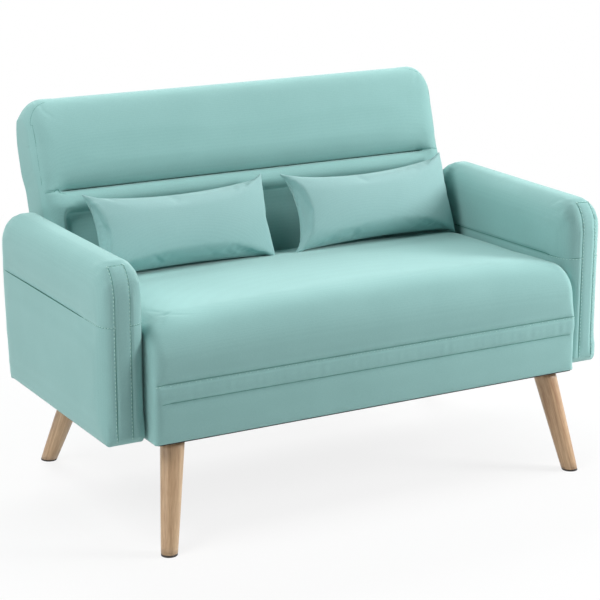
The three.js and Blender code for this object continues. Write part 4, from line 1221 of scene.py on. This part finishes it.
# %% What is seen, and what only lights
def seen_rays(start):
    """1 for the rays that look at a thing, straight or in a reflection, and 0 for its light."""
    rays = start.node("ShaderNodeLightPath")
    straight, mirrored, through = (Wire(start.tree, rays.socket.node.outputs[f"Is {kind} Ray"])
                                   for kind in ("Camera", "Glossy", "Transmission"))
    return start.maths("ADD", straight + mirrored, through, clamp=True)

# %% Floor
REACH, WHITE = 9, (1, 1, 1, 1)
NEAR, FAR, NEAR_WHITE = 0.9, 2.6, 0.84
floor = solid("floor", [(-REACH, -REACH, 0), (REACH, -REACH, 0), (REACH, REACH, 0), (-REACH, REACH, 0)],
              [(0, 1, 2, 3)])
white, shader, place = finish("pale_floor", Base_Color=(0.86, 0.86, 0.86, 1), Roughness=0.9)
distance = place.node("ShaderNodeVectorMath", {"operation": "LENGTH"}, output=1, i0=place)
far = place.node("ShaderNodeMapRange", Value=distance, From_Min=NEAR, From_Max=FAR)
bright = place.node("ShaderNodeEmission", Color=WHITE, Strength=1.0)
# Near the sofa the lit floor keeps a share, and with it the shadow; far away all is white.
share = far * (1 - NEAR_WHITE) + NEAR_WHITE
blend = place.node("ShaderNodeMixShader", i0=seen_rays(place) * share,
                   i1=Wire(place.tree, shader.outputs[0]), i2=bright)
white.node_tree.links.new(blend.socket, white.node_tree.nodes["Material Output"].inputs["Surface"])
floor.data.materials.append(white)
print("floor", 2 * REACH, "m wide")

# %% World
world = bpy.data.worlds.new("studio")
bpy.context.scene.world = world
world.use_nodes = True
SKY_LIGHT = 0.04
strength = seen_rays(Wire(world.node_tree)) * (1 - SKY_LIGHT) + SKY_LIGHT
back_drop = world.node_tree.nodes["Background"]
back_drop.inputs["Color"].default_value = WHITE
world.node_tree.links.new(strength.socket, back_drop.inputs["Strength"])
print("a white world that lights with", SKY_LIGHT)

# %% Lamps
def aimed(name, data, place, along):
    """An object at a place that looks along a direction."""
    made = bpy.data.objects.new(name, data)
    bpy.context.scene.collection.objects.link(made)
    made.location = place
    made.rotation_euler = Vector(along).to_track_quat("-Z", "Y").to_euler()
    return made


# Name, place, the place it looks at, width and height, and watts.
LAMPS = (
    ("overhead_left", (-1.8, -0.4, 2.4), (0, 0, 0.4), (1.2, 1.2), 42),
    ("overhead_right", (2.0, -0.4, 2.4), (0, 0, 0.4), (1.2, 1.2), 21),
    ("overhead_rear", (0.3, 1.8, 2.4), (0, 0, 0.5), (2.0, 1.0), 52),
    ("low_left", (-3.4, -0.3, 0.36), (0, 0, 0.38), (2.0, 0.7), 13),
    ("right", (3.0, -0.6, 1.2), (0, 0, 0.4), (1.0, 1.0), 13),
    ("front_right", (2.6, -1.6, 1.6), (0, -0.2, 0.4), (0.8, 0.8), 66),
)
for name, place, target, size, watts in LAMPS:
    data = bpy.data.lights.new(name, "AREA")
    data.shape, data.size, data.size_y, data.energy = "RECTANGLE", *size, watts
    aimed(name, data, place, Vector(target) - Vector(place))
print("lamps:", len(LAMPS), "with", sum(lamp[-1] for lamp in LAMPS), "watts")

# %% Camera
EYE, SIGHT = (-2.0384, FRONT - 3.2965, 1.5391), (0.4717, 0.8395, -0.2696)
camera = aimed("camera", bpy.data.cameras.new("camera"), EYE, SIGHT)
camera.data.lens, camera.data.sensor_width, camera.data.clip_end = 117.34, 36, 60
bpy.context.scene.camera = camera
bpy.context.scene.view_settings.view_transform = "Standard"
print("camera at", [round(value, 2) for value in EYE], "lens", round(camera.data.lens), "mm")
